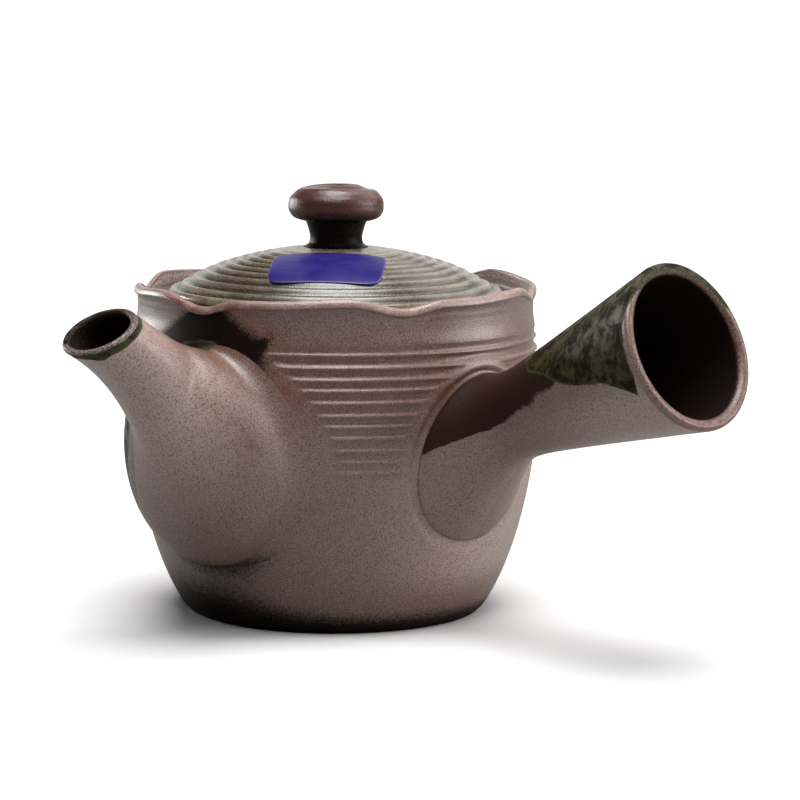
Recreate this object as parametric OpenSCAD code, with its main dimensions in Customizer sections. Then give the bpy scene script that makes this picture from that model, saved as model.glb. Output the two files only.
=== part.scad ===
// Kyusu: a side-handled teapot, thrown in separate pieces that are luted together.
// Origin at the centre of the flat base, +Z up, handle along +X, spout near -Y.
// Lengths in millimetres, angles in degrees.

/* [Pot body] */
// Radius of the flat base
base_r = 34.7; // [31:0.1:38]
// Radius of the belly at its widest
belly_r = 47.8; // [44:0.1:52]
// Height of the widest place above the base
belly_z = 53; // [48:0.5:58]
// Rise from the widest place to the waist under the rim
waist_rise = 17; // [15:0.5:20]
// How far the waist draws in from the belly
waist_in = 1.5; // [1:0.1:2.5]
// Rise from the waist to the mean crest of the rim
rim_rise = 6.1; // [5.6:0.1:7]
// Share of the swell that the curve of the foot aims at
foot_swell = 0.56; // [0.4:0.01:0.7]
// Share of the belly's height where that aim lies
foot_swell_at = 0.18; // [0.1:0.01:0.3]
// Share of the belly's height from which the wall turns upright
upright_at = 0.57; // [0.5:0.01:0.7]
// Thickness of the thrown wall
wall = 2.8; // [2.2:0.1:3.2]
// Thickness of the floor
floor_t = 3.6; // [2.5:0.1:5]
// Reach of the curve inside from the floor to the wall
floor_round = 9; // [6:0.5:12]
// Radius of the rounded edge round the base
foot_round = 0.8; // [0.5:0.1:2]

/* [Throwing grooves] */
// Number of crests that the potter's finger left on the belly
groove_n = 11; // [4:1:12]
// Distance from crest to crest
groove_pitch = 2.63; // [2.2:0.01:3]
// Distance from the waist down to the first crest
groove_drop = 5.3; // [4.5:0.1:7]
// Depth of the topmost groove
groove_top_d = 0.5; // [0.2:0.05:0.7]
// Depth of the lowest groove
groove_low_d = 0.2; // [0.1:0.05:0.4]

/* [Rim] */
// Number of lobes round the rim
rim_lobes = 6; // [4:1:9]
// Half height of the rim's wave
rim_wave_z = 0.65; // [0:0.05:0.9]
// Half width of the rim's wave
rim_wave_r = 0.4; // [0:0.05:0.8]
// Extra dip of the rim over the spout
rim_dip = 0.8; // [0:0.05:1]
// Half angle of that dip
rim_dip_span = 20; // [12:1:30]
// Thickness of the rounded lip
lip_t = 3; // [2.6:0.1:3.4]
// How far the lip flares out
lip_flare = 0.6; // [0:0.1:1.5]

/* [Mouth and gallery] */
// Radius of the mouth
mouth_r = 36.5; // [34:0.1:37.5]
// Drop from the rim's crest to the ledge that carries the lid
ledge_drop = 2.9; // [2.6:0.1:3.1]
// Thickness of the ledge at the mouth
ledge_t = 2.6; // [2:0.1:3.5]
// Height of the slope under the ledge
ledge_slope = 2.6; // [2:0.1:4]

/* [Lid] */
// How far the lid's edge laps over the mouth
lid_lap = 2.7; // [2:0.1:3.2]
// Rise of the dome over its edge
lid_rise = 9.4; // [8:0.1:12]
// Height of the lid's edge
lid_edge_h = 2.5; // [2:0.1:3.5]
// Radius of the lid's rounded edge
lid_edge_round = 0.8; // [0.5:0.1:1.2]
// Thickness of the dome
lid_t = 3; // [2.5:0.1:4]
// Depth of the skirt below the lid's seat
skirt_drop = 3.6; // [2:0.1:6]
// Thickness of the skirt
skirt_t = 2.4; // [1.8:0.1:3]
// Gap between the skirt and the mouth
skirt_gap = 0.9; // [0.4:0.1:1.5]
// Gap between the lid and the ledge
seat_gap = 0.3; // [0.2:0.05:0.5]
// Number of ridges on the dome
lid_ridge_n = 9; // [4:1:9]
// Distance from ridge to ridge
lid_ridge_pitch = 2.6; // [2.2:0.05:2.7]
// Depth of the grooves between the ridges
lid_ridge_d = 0.35; // [0.1:0.05:0.5]
// Radius of the steam vent
vent_r = 1.5; // [1:0.1:2.5]
// Distance of the vent from the lid's axis
vent_at = 20; // [15:0.5:26]
// Direction of the vent round the lid
vent_turn = 135; // [90:5:180]

/* [Knob] */
// Radius of the knob's head
knob_r = 11.2; // [9:0.1:13]
// Height of the head
knob_head_h = 8.4; // [6.5:0.1:10]
// Radius of the neck
knob_neck_r = 6.3; // [5:0.1:7]
// Height of the neck
knob_neck_h = 6; // [4.5:0.1:8]
// Radius of the foot on the lid
knob_foot_r = 8; // [7.4:0.1:9.5]
// Angle up the round side of the head where the crown begins
knob_crown = 60; // [45:1:75]
// Depth of the thumb dent in the top
knob_dent = 0.6; // [0.2:0.1:1]

/* [Label] */
// Width of the blank label
label_w = 25; // [18:0.5:30]
// Height of the label, measured in plan
label_h = 18; // [12:0.2:20]
// Thickness of the label
label_t = 0.25; // [0.2:0.05:0.5]
// Radius of its corners
label_corner = 2.5; // [1:0.1:4]
// Distance of its middle from the lid's axis
label_at = 21.8; // [20:0.2:24]
// Direction of the label round the lid
label_turn = -50; // [-70:1:-30]

/* [Spout] */
// Angle from the handle round to the spout
spout_turn = -84.7; // [-95:0.1:-70]
// How far the middle of the spout's mouth lies beyond the belly
spout_reach = 30.5; // [26:0.5:36]
// Drop from the rim's crest to the middle of the mouth
spout_drop = 4.8; // [2:0.1:8]
// Angle of the mouth's axis above level
spout_tilt = 60; // [50:1:68]
// Outer radius of the mouth
spout_mouth_r = 8.7; // [7.5:0.1:10]
// Thickness of the wall at the mouth
spout_lip_t = 1.8; // [1.4:0.1:2.2]
// Thickness of the wall at the root
spout_wall = 2.6; // [2:0.1:3.2]
// Half width of the bulb at the root
spout_root_r = 24.4; // [21:0.1:27]
// Height of the bulb's upper side at the root
spout_root_top = 63; // [60:0.5:66]
// Height of the bulb's lower side at the root
spout_root_low = 17; // [14:0.5:21]
// How far the upper side first aims out beyond the belly
spout_top_out = 3.8; // [2:0.1:6]
// How far it aims up from the root
spout_top_up = 3.6; // [2:0.1:5]
// How far the throat behind the mouth lies beyond the belly
spout_throat_out = 0.4; // [0:0.1:2]
// How far the throat dips below the root
spout_throat_dip = 0.3; // [0:0.1:1]
// How far the lower side first aims out beyond the belly
spout_low_out = 18.4; // [15:0.1:22]
// How far it aims down from the root
spout_low_dip = 10.5; // [8:0.1:13]
// How far the chin under the mouth lies inside the belly
spout_chin_in = 0.2; // [0:0.1:2]
// Height of the chin above the lower root
spout_chin_up = 30.5; // [28:0.1:33]
// Share of the length where the bulb has drawn in to the tube
spout_neck_at = 0.68; // [0.6:0.01:0.8]
// Fullness of the bulb, smaller is fuller
spout_fullness = 0.38; // [0.3:0.01:0.6]

/* [Strainer] */
// Radius of the opening through the wall behind the spout
port_r = 13; // [11:0.1:14]
// Height of the opening's middle
port_z = 41; // [38:0.5:44]
// Radius of the pierced dome
strainer_r = 17; // [16.5:0.1:19]
// Thickness of the dome
strainer_t = 2; // [1.6:0.1:2.6]
// Radius of each hole
strainer_hole_r = 0.9; // [0.6:0.05:1.1]
// Number of holes in the first ring round the middle one
strainer_first = 6; // [4:1:7]
// Number of rings of holes round the middle one
strainer_rings = 3; // [1:1:3]
// Angle from ring to ring
strainer_step = 15; // [13:0.5:17]

/* [Handle] */
// Angle of the handle's axis above level
handle_tilt = 22.4; // [18:0.1:26]
// How far the middle of the handle's end lies beyond the belly
handle_reach = 60; // [52:0.5:68]
// Drop from the rim's crest to the middle of the end
handle_drop = 4.2; // [2:0.1:7]
// Outer radius at the end, before its lip is rounded
handle_end_r = 19; // [17:0.1:21]
// Narrowing of the radius over each millimetre of length
handle_taper = 0.19; // [0.15:0.005:0.21]
// Thickness of the wall
handle_wall = 2.6; // [2:0.1:3]
// Radius of the ball-shaped bell at the root
bell_r = 22.2; // [20:0.1:24]
// How far the bell's middle lies inside the belly
bell_in = 15.4; // [13:0.1:17]
// Softness of the change from bell to tube
bell_blend = 5; // [3:0.1:7]

/* [Hidden] */
// Clay joint between luted pieces
lute = 0.05;
// Overlap of a cutter past the face that it cuts
cut = 1;
// How far inside the belly the spout's rings begin, before the wall trims them
spout_root_in = 17.8;
// How far the wavy lip is rooted in the wall under it
lip_root = 0.5;
// How far the lip's root stays inside the wall's faces
lip_inset = 0.04;
// Steps of the profiles, of the wavy lip and of the spout
foot_steps = 4;
floor_steps = 6;
belly_steps = 12;
waist_steps = 6;
groove_steps = 5;
wall_steps = 12;
lip_steps = 96;
lip_side_steps = 3;
lip_cap_steps = 5;
lid_edge_steps = 4;
knob_steps = 12;
handle_steps = 26;
spout_rings = 30;
spout_sides = 40;
spout_lip_steps = 3;
$fn = 96;

waist_z = belly_z + waist_rise;
waist_r = belly_r - waist_in;
rim_z = waist_z + rim_rise;
ledge_z = rim_z - ledge_drop;
gallery_r = waist_r - lip_t;
first_crest_z = waist_z - groove_drop;
last_crest_z = first_crest_z - (groove_n - 1) * groove_pitch;
lid_seat_z = ledge_z + seat_gap;
lid_edge_z = lid_seat_z + lid_edge_h;
lid_r = mouth_r + lid_lap;
lid_top_z = lid_edge_z + lid_rise;
dome_r = (lid_r * lid_r + lid_rise * lid_rise) / (2 * lid_rise);
dome_z = lid_top_z - dome_r;
knob_seat_z = dome_height(knob_foot_r);
spout_mouth = [belly_r + spout_reach, rim_z - spout_drop];
handle_end = [belly_r + handle_reach, rim_z - handle_drop];
bell_s = -(handle_reach + bell_in) / cos(handle_tilt);
bell_root_s = bell_s - cut;

clay = [0.36, 0.27, 0.25];
clay_red = [0.40, 0.28, 0.24];
clay_dark = [0.24, 0.17, 0.15];
glaze_olive = [0.36, 0.34, 0.27];
film_blue = [0.16, 0.13, 0.42];

// Curves shared by the pieces
function mix(a, b, t) = a + (b - a) * t;
function ease(t) = t * t * (3 - 2 * t);
function bezier(p, t) =
    pow(1 - t, 3) * p[0] + 3 * pow(1 - t, 2) * t * p[1] + 3 * (1 - t) * t * t * p[2] + t * t * t * p[3];
function soft_max(a, b, w) = (a + b + sqrt((a - b) * (a - b) + w * w)) / 2;
function clamp01(t) = min(1, max(0, t));
function turned(angle) = angle - 360 * round(angle / 360);

// Outside of the pot without its grooves, as points [radius, height] from the foot up to the waist
function belly_curve() = [
    [base_r, 0],
    [mix(base_r, belly_r, foot_swell), belly_z * foot_swell_at],
    [belly_r, belly_z * upright_at],
    [belly_r, belly_z]
];
function foot_points(grow) = [
    for (i = [0 : foot_steps - 1])
        let (a = 90 * i / foot_steps)
        [base_r + grow - foot_round * (1 - sin(a)), foot_round * (1 - cos(a))]
];
function foot_t() = foot_round / belly_z;
function belly_points(grow) = [
    for (i = [0 : belly_steps])
        bezier(belly_curve(), mix(foot_t(), 1, i / belly_steps)) + [grow, 0]
];
function upper_r(z) =
    let (u = (z - belly_z) / waist_rise)
    belly_r - waist_in * u * u;
function waist_points(grow) = [
    for (i = [1 : waist_steps])
        let (z = mix(belly_z, waist_z, i / waist_steps))
        [upper_r(z) + grow, z]
];

// Radius of the ungrooved wall at a height, by bisection on the belly curve
function belly_t(z, low = 0, high = 1, n = 24) =
    let (t = (low + high) / 2)
    n == 0 ? t : bezier(belly_curve(), t)[1] < z ? belly_t(z, t, high, n - 1) : belly_t(z, low, t, n - 1);
function wall_r(z) = z >= belly_z ? upper_r(z) : bezier(belly_curve(), belly_t(z))[0];

// Grooves run from the first crest down to the last, each as deep as its height asks
function groove_depth(z) = mix(groove_low_d, groove_top_d, (z - last_crest_z) / (first_crest_z - last_crest_z));
function groove_points() = [
    for (i = [0 : (groove_n - 1) * groove_steps])
        let (z = last_crest_z + i * groove_pitch / groove_steps)
        [wall_r(z) - groove_depth(z) * (1 - cos(360 * i / groove_steps)) / 2, z]
];

// Closed outside of the pot, used to trim what is luted on
module pot_envelope(grow) {
    rotate_extrude()
        polygon(concat(
            [[0, -cut]],
            [[base_r + grow - foot_round, -cut]],
            foot_points(grow),
            belly_points(grow),
            waist_points(grow),
            [[waist_r + grow, rim_z + cut]],
            [[0, rim_z + cut]]
        ));
}

// Inside of the pot below the ledge, used for the hollow and to trim the strainer
function inner_r(z, grow) = wall_r(z) - wall - grow;
function floor_points(grow) =
    let (
        corner = [inner_r(floor_t, grow), floor_t + grow],
        start = corner - [floor_round, 0],
        end = [inner_r(floor_t + floor_round, grow), floor_t + floor_round]
    )
    [for (i = [0 : floor_steps])
        bezier([start, mix(start, corner, 2 / 3), mix(end, corner, 2 / 3), end], i / floor_steps)];
function inner_z(i) = mix(floor_t + floor_round, ledge_z - ledge_t - ledge_slope, i / wall_steps);
function inner_points(grow) = [
    for (i = [1 : wall_steps])
        [inner_r(inner_z(i), grow), inner_z(i)]
];
module pot_hollow(grow) {
    rotate_extrude()
        polygon(concat(
            [[0, floor_t + grow]],
            floor_points(grow),
            inner_points(grow),
            [[mouth_r - grow, ledge_z - ledge_t]],
            [[mouth_r - grow, rim_z]],
            [[0, rim_z]]
        ));
}

// Wave of the rim: even lobes, and one deeper dip over the spout
function rim_crest(a) =
    rim_z - rim_wave_z * cos(rim_lobes * (a - spout_turn))
    - rim_dip * exp(-pow(turned(a - spout_turn) / rim_dip_span, 2));
function rim_push(a) = -rim_wave_r * cos(rim_lobes * (a - spout_turn));

// One section through the lip, out and up, over the round crest, and down inside
lip_half = lip_t / 2 - lip_inset;
lip_low_z = ledge_z + seat_gap - lip_root;
function lip_mid(a, v) = [
    waist_r - lip_t / 2 + (lip_flare + rim_push(a)) * v * v,
    mix(lip_low_z, rim_crest(a) - lip_half, v)
];
function lip_section(a) = concat(
    [for (i = [0 : lip_side_steps]) lip_mid(a, i / lip_side_steps) + [lip_half, 0]],
    [for (i = [1 : lip_cap_steps - 1])
        let (b = 180 * i / lip_cap_steps)
        lip_mid(a, 1) + lip_half * [cos(b), sin(b)]],
    [for (i = [0 : lip_side_steps]) lip_mid(a, 1 - i / lip_side_steps) - [lip_half, 0]]
);
function around(p, a) = [p[0] * cos(a), p[0] * sin(a), p[1]];

// Skin over closed rings of points, closed in both directions
module ring_skin(rings) {
    n = len(rings);
    m = len(rings[0]);
    points = [for (ring = rings) each ring];
    faces = [
        for (i = [0 : n - 1])
            for (j = [0 : m - 1])
                let (
                    i2 = (i + 1) % n,
                    j2 = (j + 1) % m,
                    a = i * m + j,
                    b = i2 * m + j,
                    c = i2 * m + j2,
                    d = i * m + j2
                )
                each [[a, b, c], [a, c, d]]
    ];
    polyhedron(points = points, faces = faces);
}

module wavy_lip() {
    ring_skin([
        for (i = [0 : lip_steps - 1])
            let (a = -360 * i / lip_steps)
            [for (p = lip_section(a)) around(p, a)]
    ]);
}

module port() {
    rotate([0, 0, spout_turn])
        translate([belly_r / 2, 0, port_z])
            rotate([0, 90, 0])
                cylinder(r = port_r, h = belly_r);
}

// The grooved wall with its floor, the ledge for the lid and the foliate rim
module pot_body() {
    color(clay)
    union() {
        difference() {
            rotate_extrude()
                polygon(concat(
                    [[0, 0]],
                    foot_points(0),
                    [for (p = belly_points(0)) if (p[1] < last_crest_z - groove_pitch / 4) p],
                    groove_points(),
                    [for (p = waist_points(0)) if (p[1] > first_crest_z + groove_pitch / 4) p],
                    [[waist_r, ledge_z + seat_gap]],
                    [[gallery_r, ledge_z + seat_gap]],
                    [[gallery_r, ledge_z]],
                    [[0, ledge_z]]
                ));
            pot_hollow(0);
            port();
        }
        wavy_lip();
    }
}

// Spout: rings between an upper and a lower line, with their own half width
spout_axis = [cos(spout_tilt), sin(spout_tilt)];
spout_up = [-sin(spout_tilt), cos(spout_tilt)];
spout_root = belly_r - spout_root_in;
function spout_top_line() = [
    [spout_root, spout_root_top],
    [belly_r + spout_top_out, spout_root_top + spout_top_up],
    [belly_r + spout_throat_out, spout_root_top - spout_throat_dip],
    spout_mouth + spout_mouth_r * spout_up
];
function spout_low_line() = [
    [spout_root, spout_root_low],
    [belly_r + spout_low_out, spout_root_low - spout_low_dip],
    [belly_r - spout_chin_in, spout_root_low + spout_chin_up],
    spout_mouth - spout_mouth_r * spout_up
];
function spout_half_w(t) =
    mix(spout_mouth_r, spout_root_r, pow(ease(clamp01(1 - t / spout_neck_at)), spout_fullness));
function spout_thick(t) = mix(spout_wall, spout_lip_t, ease(t));

// A ring at t, drawn in by inset and moved on along the mouth's axis by ahead
function spout_ring(t, inset, ahead) =
    let (
        top = bezier(spout_top_line(), t),
        low = bezier(spout_low_line(), t),
        mid = (top + low) / 2 + ahead * spout_axis,
        half = (top - low) / 2,
        up = half / norm(half),
        h = norm(half) - inset,
        w = spout_half_w(t) - inset
    )
    [for (j = [0 : spout_sides - 1])
        let (
            a = 360 * j / spout_sides,
            p = mid + h * sin(a) * up
        )
        [p[0], w * cos(a), p[1]]];
function spout_lip_rings() = [
    for (i = [1 : spout_lip_steps - 1])
        let (a = 180 * i / spout_lip_steps)
        spout_ring(1, spout_lip_t / 2 * (1 - cos(a)), spout_lip_t / 2 * sin(a))
];

// The bulb and its upturned tube, one hollow piece trimmed to the pot's wall
module spout() {
    color(clay_red)
    difference() {
        rotate([0, 0, spout_turn])
            ring_skin(concat(
                [for (i = [0 : spout_rings]) spout_ring(i / spout_rings, 0, 0)],
                spout_lip_rings(),
                [for (i = [0 : spout_rings])
                    let (t = 1 - i / spout_rings)
                    spout_ring(t, spout_thick(t), 0)]
            ));
        pot_envelope(lute);
    }
}

// Handle: distance s along its axis is 0 at the open end and negative toward the pot
function tube_r(s) = handle_end_r + handle_taper * s;
function ball_r(s) = sqrt(max(0, bell_r * bell_r - (s - bell_s) * (s - bell_s)));
function handle_r(s) = soft_max(tube_r(s), ball_r(s), bell_blend);
function handle_points(inset) = [
    for (i = [0 : handle_steps])
        let (s = mix(bell_root_s, -handle_wall, i / handle_steps))
        [handle_r(s) - inset, s]
];
module handle_lip() {
    translate([handle_r(-handle_wall) - handle_wall / 2, -handle_wall])
        circle(d = handle_wall);
}

// The hollow horn with its bell, open at the end and trimmed to the pot's wall
module handle() {
    outside = handle_points(0);
    inside = handle_points(handle_wall);
    color(clay_red)
    difference() {
        translate([handle_end[0], 0, handle_end[1]])
            rotate([0, 90 - handle_tilt, 0])
                rotate_extrude() {
                    polygon(concat(outside, [for (i = [handle_steps : -1 : 0]) inside[i]]));
                    handle_lip();
                }
        pot_envelope(lute);
    }
}

// A pierced dome inside the pot, over the opening to the spout
module strainer_holes() {
    for (k = [0 : strainer_rings])
        for (i = [0 : max(1, strainer_first * k) - 1])
            rotate([360 * i / max(1, strainer_first * k), 0, 0])
                rotate([0, k * strainer_step, 0])
                    translate([-strainer_r - cut, 0, 0])
                        rotate([0, 90, 0])
                            cylinder(r = strainer_hole_r, h = strainer_t + 2 * cut);
}
module strainer() {
    color(clay_dark)
    intersection() {
        rotate([0, 0, spout_turn])
            translate([wall_r(port_z), 0, port_z])
                difference() {
                    sphere(r = strainer_r);
                    sphere(r = strainer_r - strainer_t);
                    strainer_holes();
                }
        pot_hollow(lute);
    }
}

// Lid: a ridged dome on a spherical crest surface, with a skirt inside the mouth
function dome_height(r) = dome_z + sqrt(dome_r * dome_r - r * r);
lid_first_ridge = lid_r - lid_edge_round - lid_ridge_n * lid_ridge_pitch;
function ridge_points() = [
    for (i = [0 : lid_ridge_n * groove_steps])
        let (r = lid_first_ridge + i * lid_ridge_pitch / groove_steps)
        [r, dome_height(r) - lid_ridge_d * (1 - cos(360 * i / groove_steps)) / 2]
];
function lid_edge_points() = [
    for (i = [1 : lid_edge_steps])
        let (a = 90 * i / lid_edge_steps)
        [lid_r - lid_edge_round * (1 - sin(a)), dome_height(lid_r - lid_edge_round) - lid_edge_round * (1 - cos(a))]
];
skirt_out_r = mouth_r - skirt_gap;
skirt_in_r = skirt_out_r - skirt_t;
function lid_inside(i) =
    let (r = mix(0, skirt_in_r, i / wall_steps))
    [r, dome_height(r) - lid_t];
module lid() {
    color(glaze_olive)
    difference() {
        rotate_extrude()
            polygon(concat(
                [[0, knob_seat_z]],
                [[knob_foot_r, knob_seat_z]],
                ridge_points(),
                lid_edge_points(),
                [[lid_r, lid_seat_z]],
                [[skirt_out_r, lid_seat_z]],
                [[skirt_out_r, lid_seat_z - skirt_drop]],
                [[skirt_in_r, lid_seat_z - skirt_drop]],
                [for (i = [wall_steps : -1 : 0]) lid_inside(i)]
            ));
        rotate([0, 0, vent_turn])
            translate([vent_at, 0, lid_seat_z])
                cylinder(r = vent_r, h = lid_top_z - lid_seat_z + cut);
    }
}

// Knob: a waisted neck under a rounded head with a shallow dent
knob_low_z = knob_seat_z + lute;
function knob_neck_points() = [
    for (i = [0 : knob_steps])
        let (u = i / knob_steps)
        [mix(knob_foot_r, knob_neck_r, sin(90 * clamp01(2 * u))), knob_low_z + knob_neck_h * u]
];
function knob_head_points() = [
    for (i = [1 : knob_steps])
        let (a = mix(-90, knob_crown, i / knob_steps))
        [knob_neck_r + (knob_r - knob_neck_r) * cos(a), knob_low_z + knob_neck_h + knob_head_h * (1 + sin(a)) / 2]
];
function knob_top_points() =
    let (edge = knob_head_points()[knob_steps - 1])
    [for (i = [1 : knob_steps])
        let (u = i / knob_steps)
        [edge[0] * (1 - u), edge[1] + knob_head_h * (1 - sin(knob_crown)) / 2 * ease(clamp01(2 * u))
            - knob_dent * ease(clamp01(2 * u - 1))]];
module lid_knob() {
    color(clay_dark)
    rotate_extrude()
        polygon(concat(
            [[0, knob_low_z]],
            knob_neck_points(),
            knob_head_points(),
            knob_top_points()
        ));
}

// A blank label lying on the crests of the dome
module rounded_plate(w, h, r) {
    square([w - 2 * r, h], center = true);
    square([w, h - 2 * r], center = true);
    for (x = [-1, 1])
        for (y = [-1, 1])
            translate([x * (w / 2 - r), y * (h / 2 - r)])
                circle(r = r);
}
module lid_label() {
    color(film_blue)
    intersection() {
        translate([0, 0, dome_z])
            difference() {
                sphere(r = dome_r + lute + label_t);
                sphere(r = dome_r + lute);
            }
        rotate([0, 0, label_turn])
            translate([label_at, 0, lid_seat_z])
                linear_extrude(height = lid_top_z - lid_seat_z + cut)
                    rounded_plate(label_h, label_w, label_corner);
    }
}

pot_body();
spout();
handle();
strainer();
lid();
lid_knob();
lid_label();
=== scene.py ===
"""Side-handled teapot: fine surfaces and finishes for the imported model, and the stage that it stands on."""

from types import SimpleNamespace

import bpy
import numpy as np
from bpy.props import FloatProperty, FloatVectorProperty, IntProperty, PointerProperty
from mathutils import Matrix, Vector


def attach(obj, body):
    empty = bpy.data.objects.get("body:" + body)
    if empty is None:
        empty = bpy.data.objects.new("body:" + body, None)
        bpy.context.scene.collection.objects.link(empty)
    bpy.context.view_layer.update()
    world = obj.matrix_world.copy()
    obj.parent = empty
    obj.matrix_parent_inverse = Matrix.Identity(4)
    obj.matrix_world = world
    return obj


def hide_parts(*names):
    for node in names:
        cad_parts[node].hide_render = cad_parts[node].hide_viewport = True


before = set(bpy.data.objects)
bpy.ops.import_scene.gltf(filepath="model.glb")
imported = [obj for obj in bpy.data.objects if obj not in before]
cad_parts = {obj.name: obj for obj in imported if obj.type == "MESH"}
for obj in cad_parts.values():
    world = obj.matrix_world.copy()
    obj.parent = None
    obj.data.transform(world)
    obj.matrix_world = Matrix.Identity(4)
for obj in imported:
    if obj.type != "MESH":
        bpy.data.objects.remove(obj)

bl_info = {
    "name": "Side-handled teapot",
    "version": (1, 0, 0),
    "blender": (4, 5, 0),
    "location": "View3D > Sidebar > Teapot",
    "description": "Builds the visible clay, glaze and label of a side-handled teapot, and its stage",
    "category": "Object",
}

MM = 0.001
TURN = 2 * np.pi
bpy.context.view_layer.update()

# Each light's name, its degrees to the right of the camera, its degrees up and its degrees across
LIGHTS = (
    ("top_light", 0, 88, 42),
    ("front_light", 0, 60, 40),
    ("right_light", 80, 16, 50),
    ("low_right_light", 95, 4, 24),
    ("left_light", -132, 4, 22),
    ("back_light", 130, 42, 45),
)
# How far fields of distance reach to each side of an edge, in millimetres
REACH = 4
FLOOR_CORNERS = [(-100, -100, 0), (100, -100, 0), (100, 100, 0), (-100, 100, 0)]


# Properties

def length(name, description, value, low, high):
    """A length, written in millimetres here and kept in metres."""
    return FloatProperty(name=name, description=description, default=value * MM, min=low * MM, max=high * MM,
                         unit="LENGTH", precision=5)


def angle(name, description, value, low, high):
    """An angle, written in degrees here and kept in radians."""
    return FloatProperty(name=name, description=description, default=np.radians(value), min=np.radians(low),
                         max=np.radians(high), subtype="ANGLE", unit="ROTATION")


def share(name, description, value, low=0.0, high=1.0):
    """A plain number, most often a share of a whole."""
    return FloatProperty(name=name, description=description, default=value, min=low, max=high, precision=3)


def count(name, description, value, low, high):
    """A whole number of like things."""
    return IntProperty(name=name, description=description, default=value, min=low, max=high)


def colour(name, description, value):
    """A linear colour without transparency."""
    return FloatVectorProperty(name=name, description=description, default=value, min=0.0, max=1.0, size=3,
                               subtype="COLOR")


class PotSizes(bpy.types.PropertyGroup):
    """Sizes of the thrown pot."""
    base_r: length("Base radius", "Radius of the flat base", 34.7, 31, 38)
    belly_r: length("Belly radius", "Radius of the belly at its widest", 47.8, 44, 52)
    belly_z: length("Belly height", "Height of the widest place", 53, 48, 58)
    waist_rise: length("Waist rise", "Rise from the widest place to the waist", 17, 15, 20)
    waist_in: length("Waist draw", "How far the waist draws in", 1.5, 1, 2.5)
    rim_rise: length("Rim rise", "Rise from the waist to the mean crest of the rim", 6.1, 5.6, 7)
    wall: length("Wall", "Thickness of the wall", 2.8, 2.2, 3.2)
    floor_t: length("Floor", "Thickness of the floor", 3.6, 2.5, 5)
    floor_round: length("Floor curve", "Reach of the curve inside from floor to wall", 9, 6, 12)
    foot_round: length("Foot round", "Radius of the rounded edge round the base", 0.8, 0.5, 2)
    foot_swell: share("Foot swell", "Share of the swell that the foot's curve aims at", 0.56)
    foot_swell_at: share("Foot swell height", "Share of the belly's height where that aim lies", 0.18)
    upright_at: share("Upright height", "Share of the belly's height where the wall turns upright", 0.57)
    groove_n: count("Groove crests", "Crests that the thrower's finger left", 11, 4, 12)
    groove_pitch: length("Groove pitch", "Distance from crest to crest", 2.63, 2.2, 3)
    groove_drop: length("Groove drop", "Distance from the waist to the first crest", 5.3, 4.5, 7)
    groove_top: length("Top groove depth", "Depth of the topmost groove", 0.8, 0.2, 1)
    groove_low: length("Low groove depth", "Depth of the lowest groove", 0.42, 0.1, 0.6)
    lobes: count("Rim lobes", "Lobes round the rim", 6, 4, 9)
    wave_z: length("Rim wave height", "Half height of the rim's wave", 0.75, 0, 0.9)
    wave_r: length("Rim wave width", "Half width of the rim's wave", 0.4, 0, 0.8)
    dip: length("Rim dip", "Extra dip of the rim over the spout", 0.45, 0, 1)
    dip_span: angle("Rim dip span", "Half angle of that dip", 12, 8, 30)
    lip_t: length("Lip", "Thickness of the rounded lip", 3, 2.6, 3.4)
    lip_flare: length("Lip flare", "How far the lip flares out", 0.6, 0, 1.5)
    mouth_r: length("Mouth radius", "Radius of the mouth inside the ledge", 36.5, 34, 37.5)
    ledge_drop: length("Ledge drop", "Drop from the rim to the ledge for the lid", 2.9, 2.6, 3.1)
    ledge_t: length("Ledge", "Thickness of the ledge at the mouth", 2.6, 2, 3.5)
    ledge_slope: length("Ledge slope", "Height of the slope under the ledge", 2.6, 2, 4)
    port_r: length("Port radius", "Radius of the opening behind the spout", 13, 11, 14)
    port_z: length("Port height", "Height of the opening's middle", 41, 38, 44)


class SpoutSizes(bpy.types.PropertyGroup):
    """Sizes of the spout, whose place is measured from the pot."""
    turn: angle("Turn", "Angle from the handle round to the spout", -84.7, -95, -70)
    reach: length("Reach", "How far the mouth's middle lies beyond the belly", 30.5, 26, 36)
    drop: length("Drop", "Drop from the rim to the mouth's middle", 4.8, 2, 8)
    tilt: angle("Tilt", "Angle of the mouth's axis above level", 60, 50, 68)
    mouth_r: length("Mouth radius", "Outer radius of the mouth", 8.7, 7.5, 10)
    lip_t: length("Lip", "Thickness of the wall at the mouth", 1.8, 1.4, 2.2)
    wall: length("Wall", "Thickness of the wall at the root", 2.6, 2, 3.2)
    root_r: length("Root half width", "Half width of the bulb at the root", 24.4, 21, 27)
    root_top: length("Root top", "Height of the bulb's upper side at the root", 63, 60, 66)
    root_low: length("Root bottom", "Height of the bulb's lower side at the root", 17, 14, 21)
    root_in: length("Root depth", "How far inside the belly the bulb begins", 17.8, 15, 20)
    top_out: length("Top aim out", "How far the upper side first aims out", 3.8, 2, 6)
    top_up: length("Top aim up", "How far the upper side first aims up", 3.6, 2, 5)
    throat_out: length("Throat out", "How far the throat lies beyond the belly", 0.4, 0, 2)
    throat_dip: length("Throat dip", "How far the throat dips below the root", 0.3, 0, 1)
    low_out: length("Low aim out", "How far the lower side first aims out", 18.4, 15, 22)
    low_dip: length("Low aim down", "How far the lower side first aims down", 10.5, 8, 13)
    chin_in: length("Chin in", "How far the chin lies inside the belly", 0.2, 0, 2)
    chin_up: length("Chin up", "Height of the chin above the lower root", 30.5, 28, 33)
    neck_at: share("Neck", "Share of the length where the bulb has drawn in", 0.68, 0.6, 0.8)
    fullness: share("Fullness", "Fullness of the bulb, smaller is fuller", 0.38, 0.3, 0.6)
    fillet: length("Fillet", "Width of the clay smoothed from spout to wall", 5.5, 2, 8)


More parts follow.
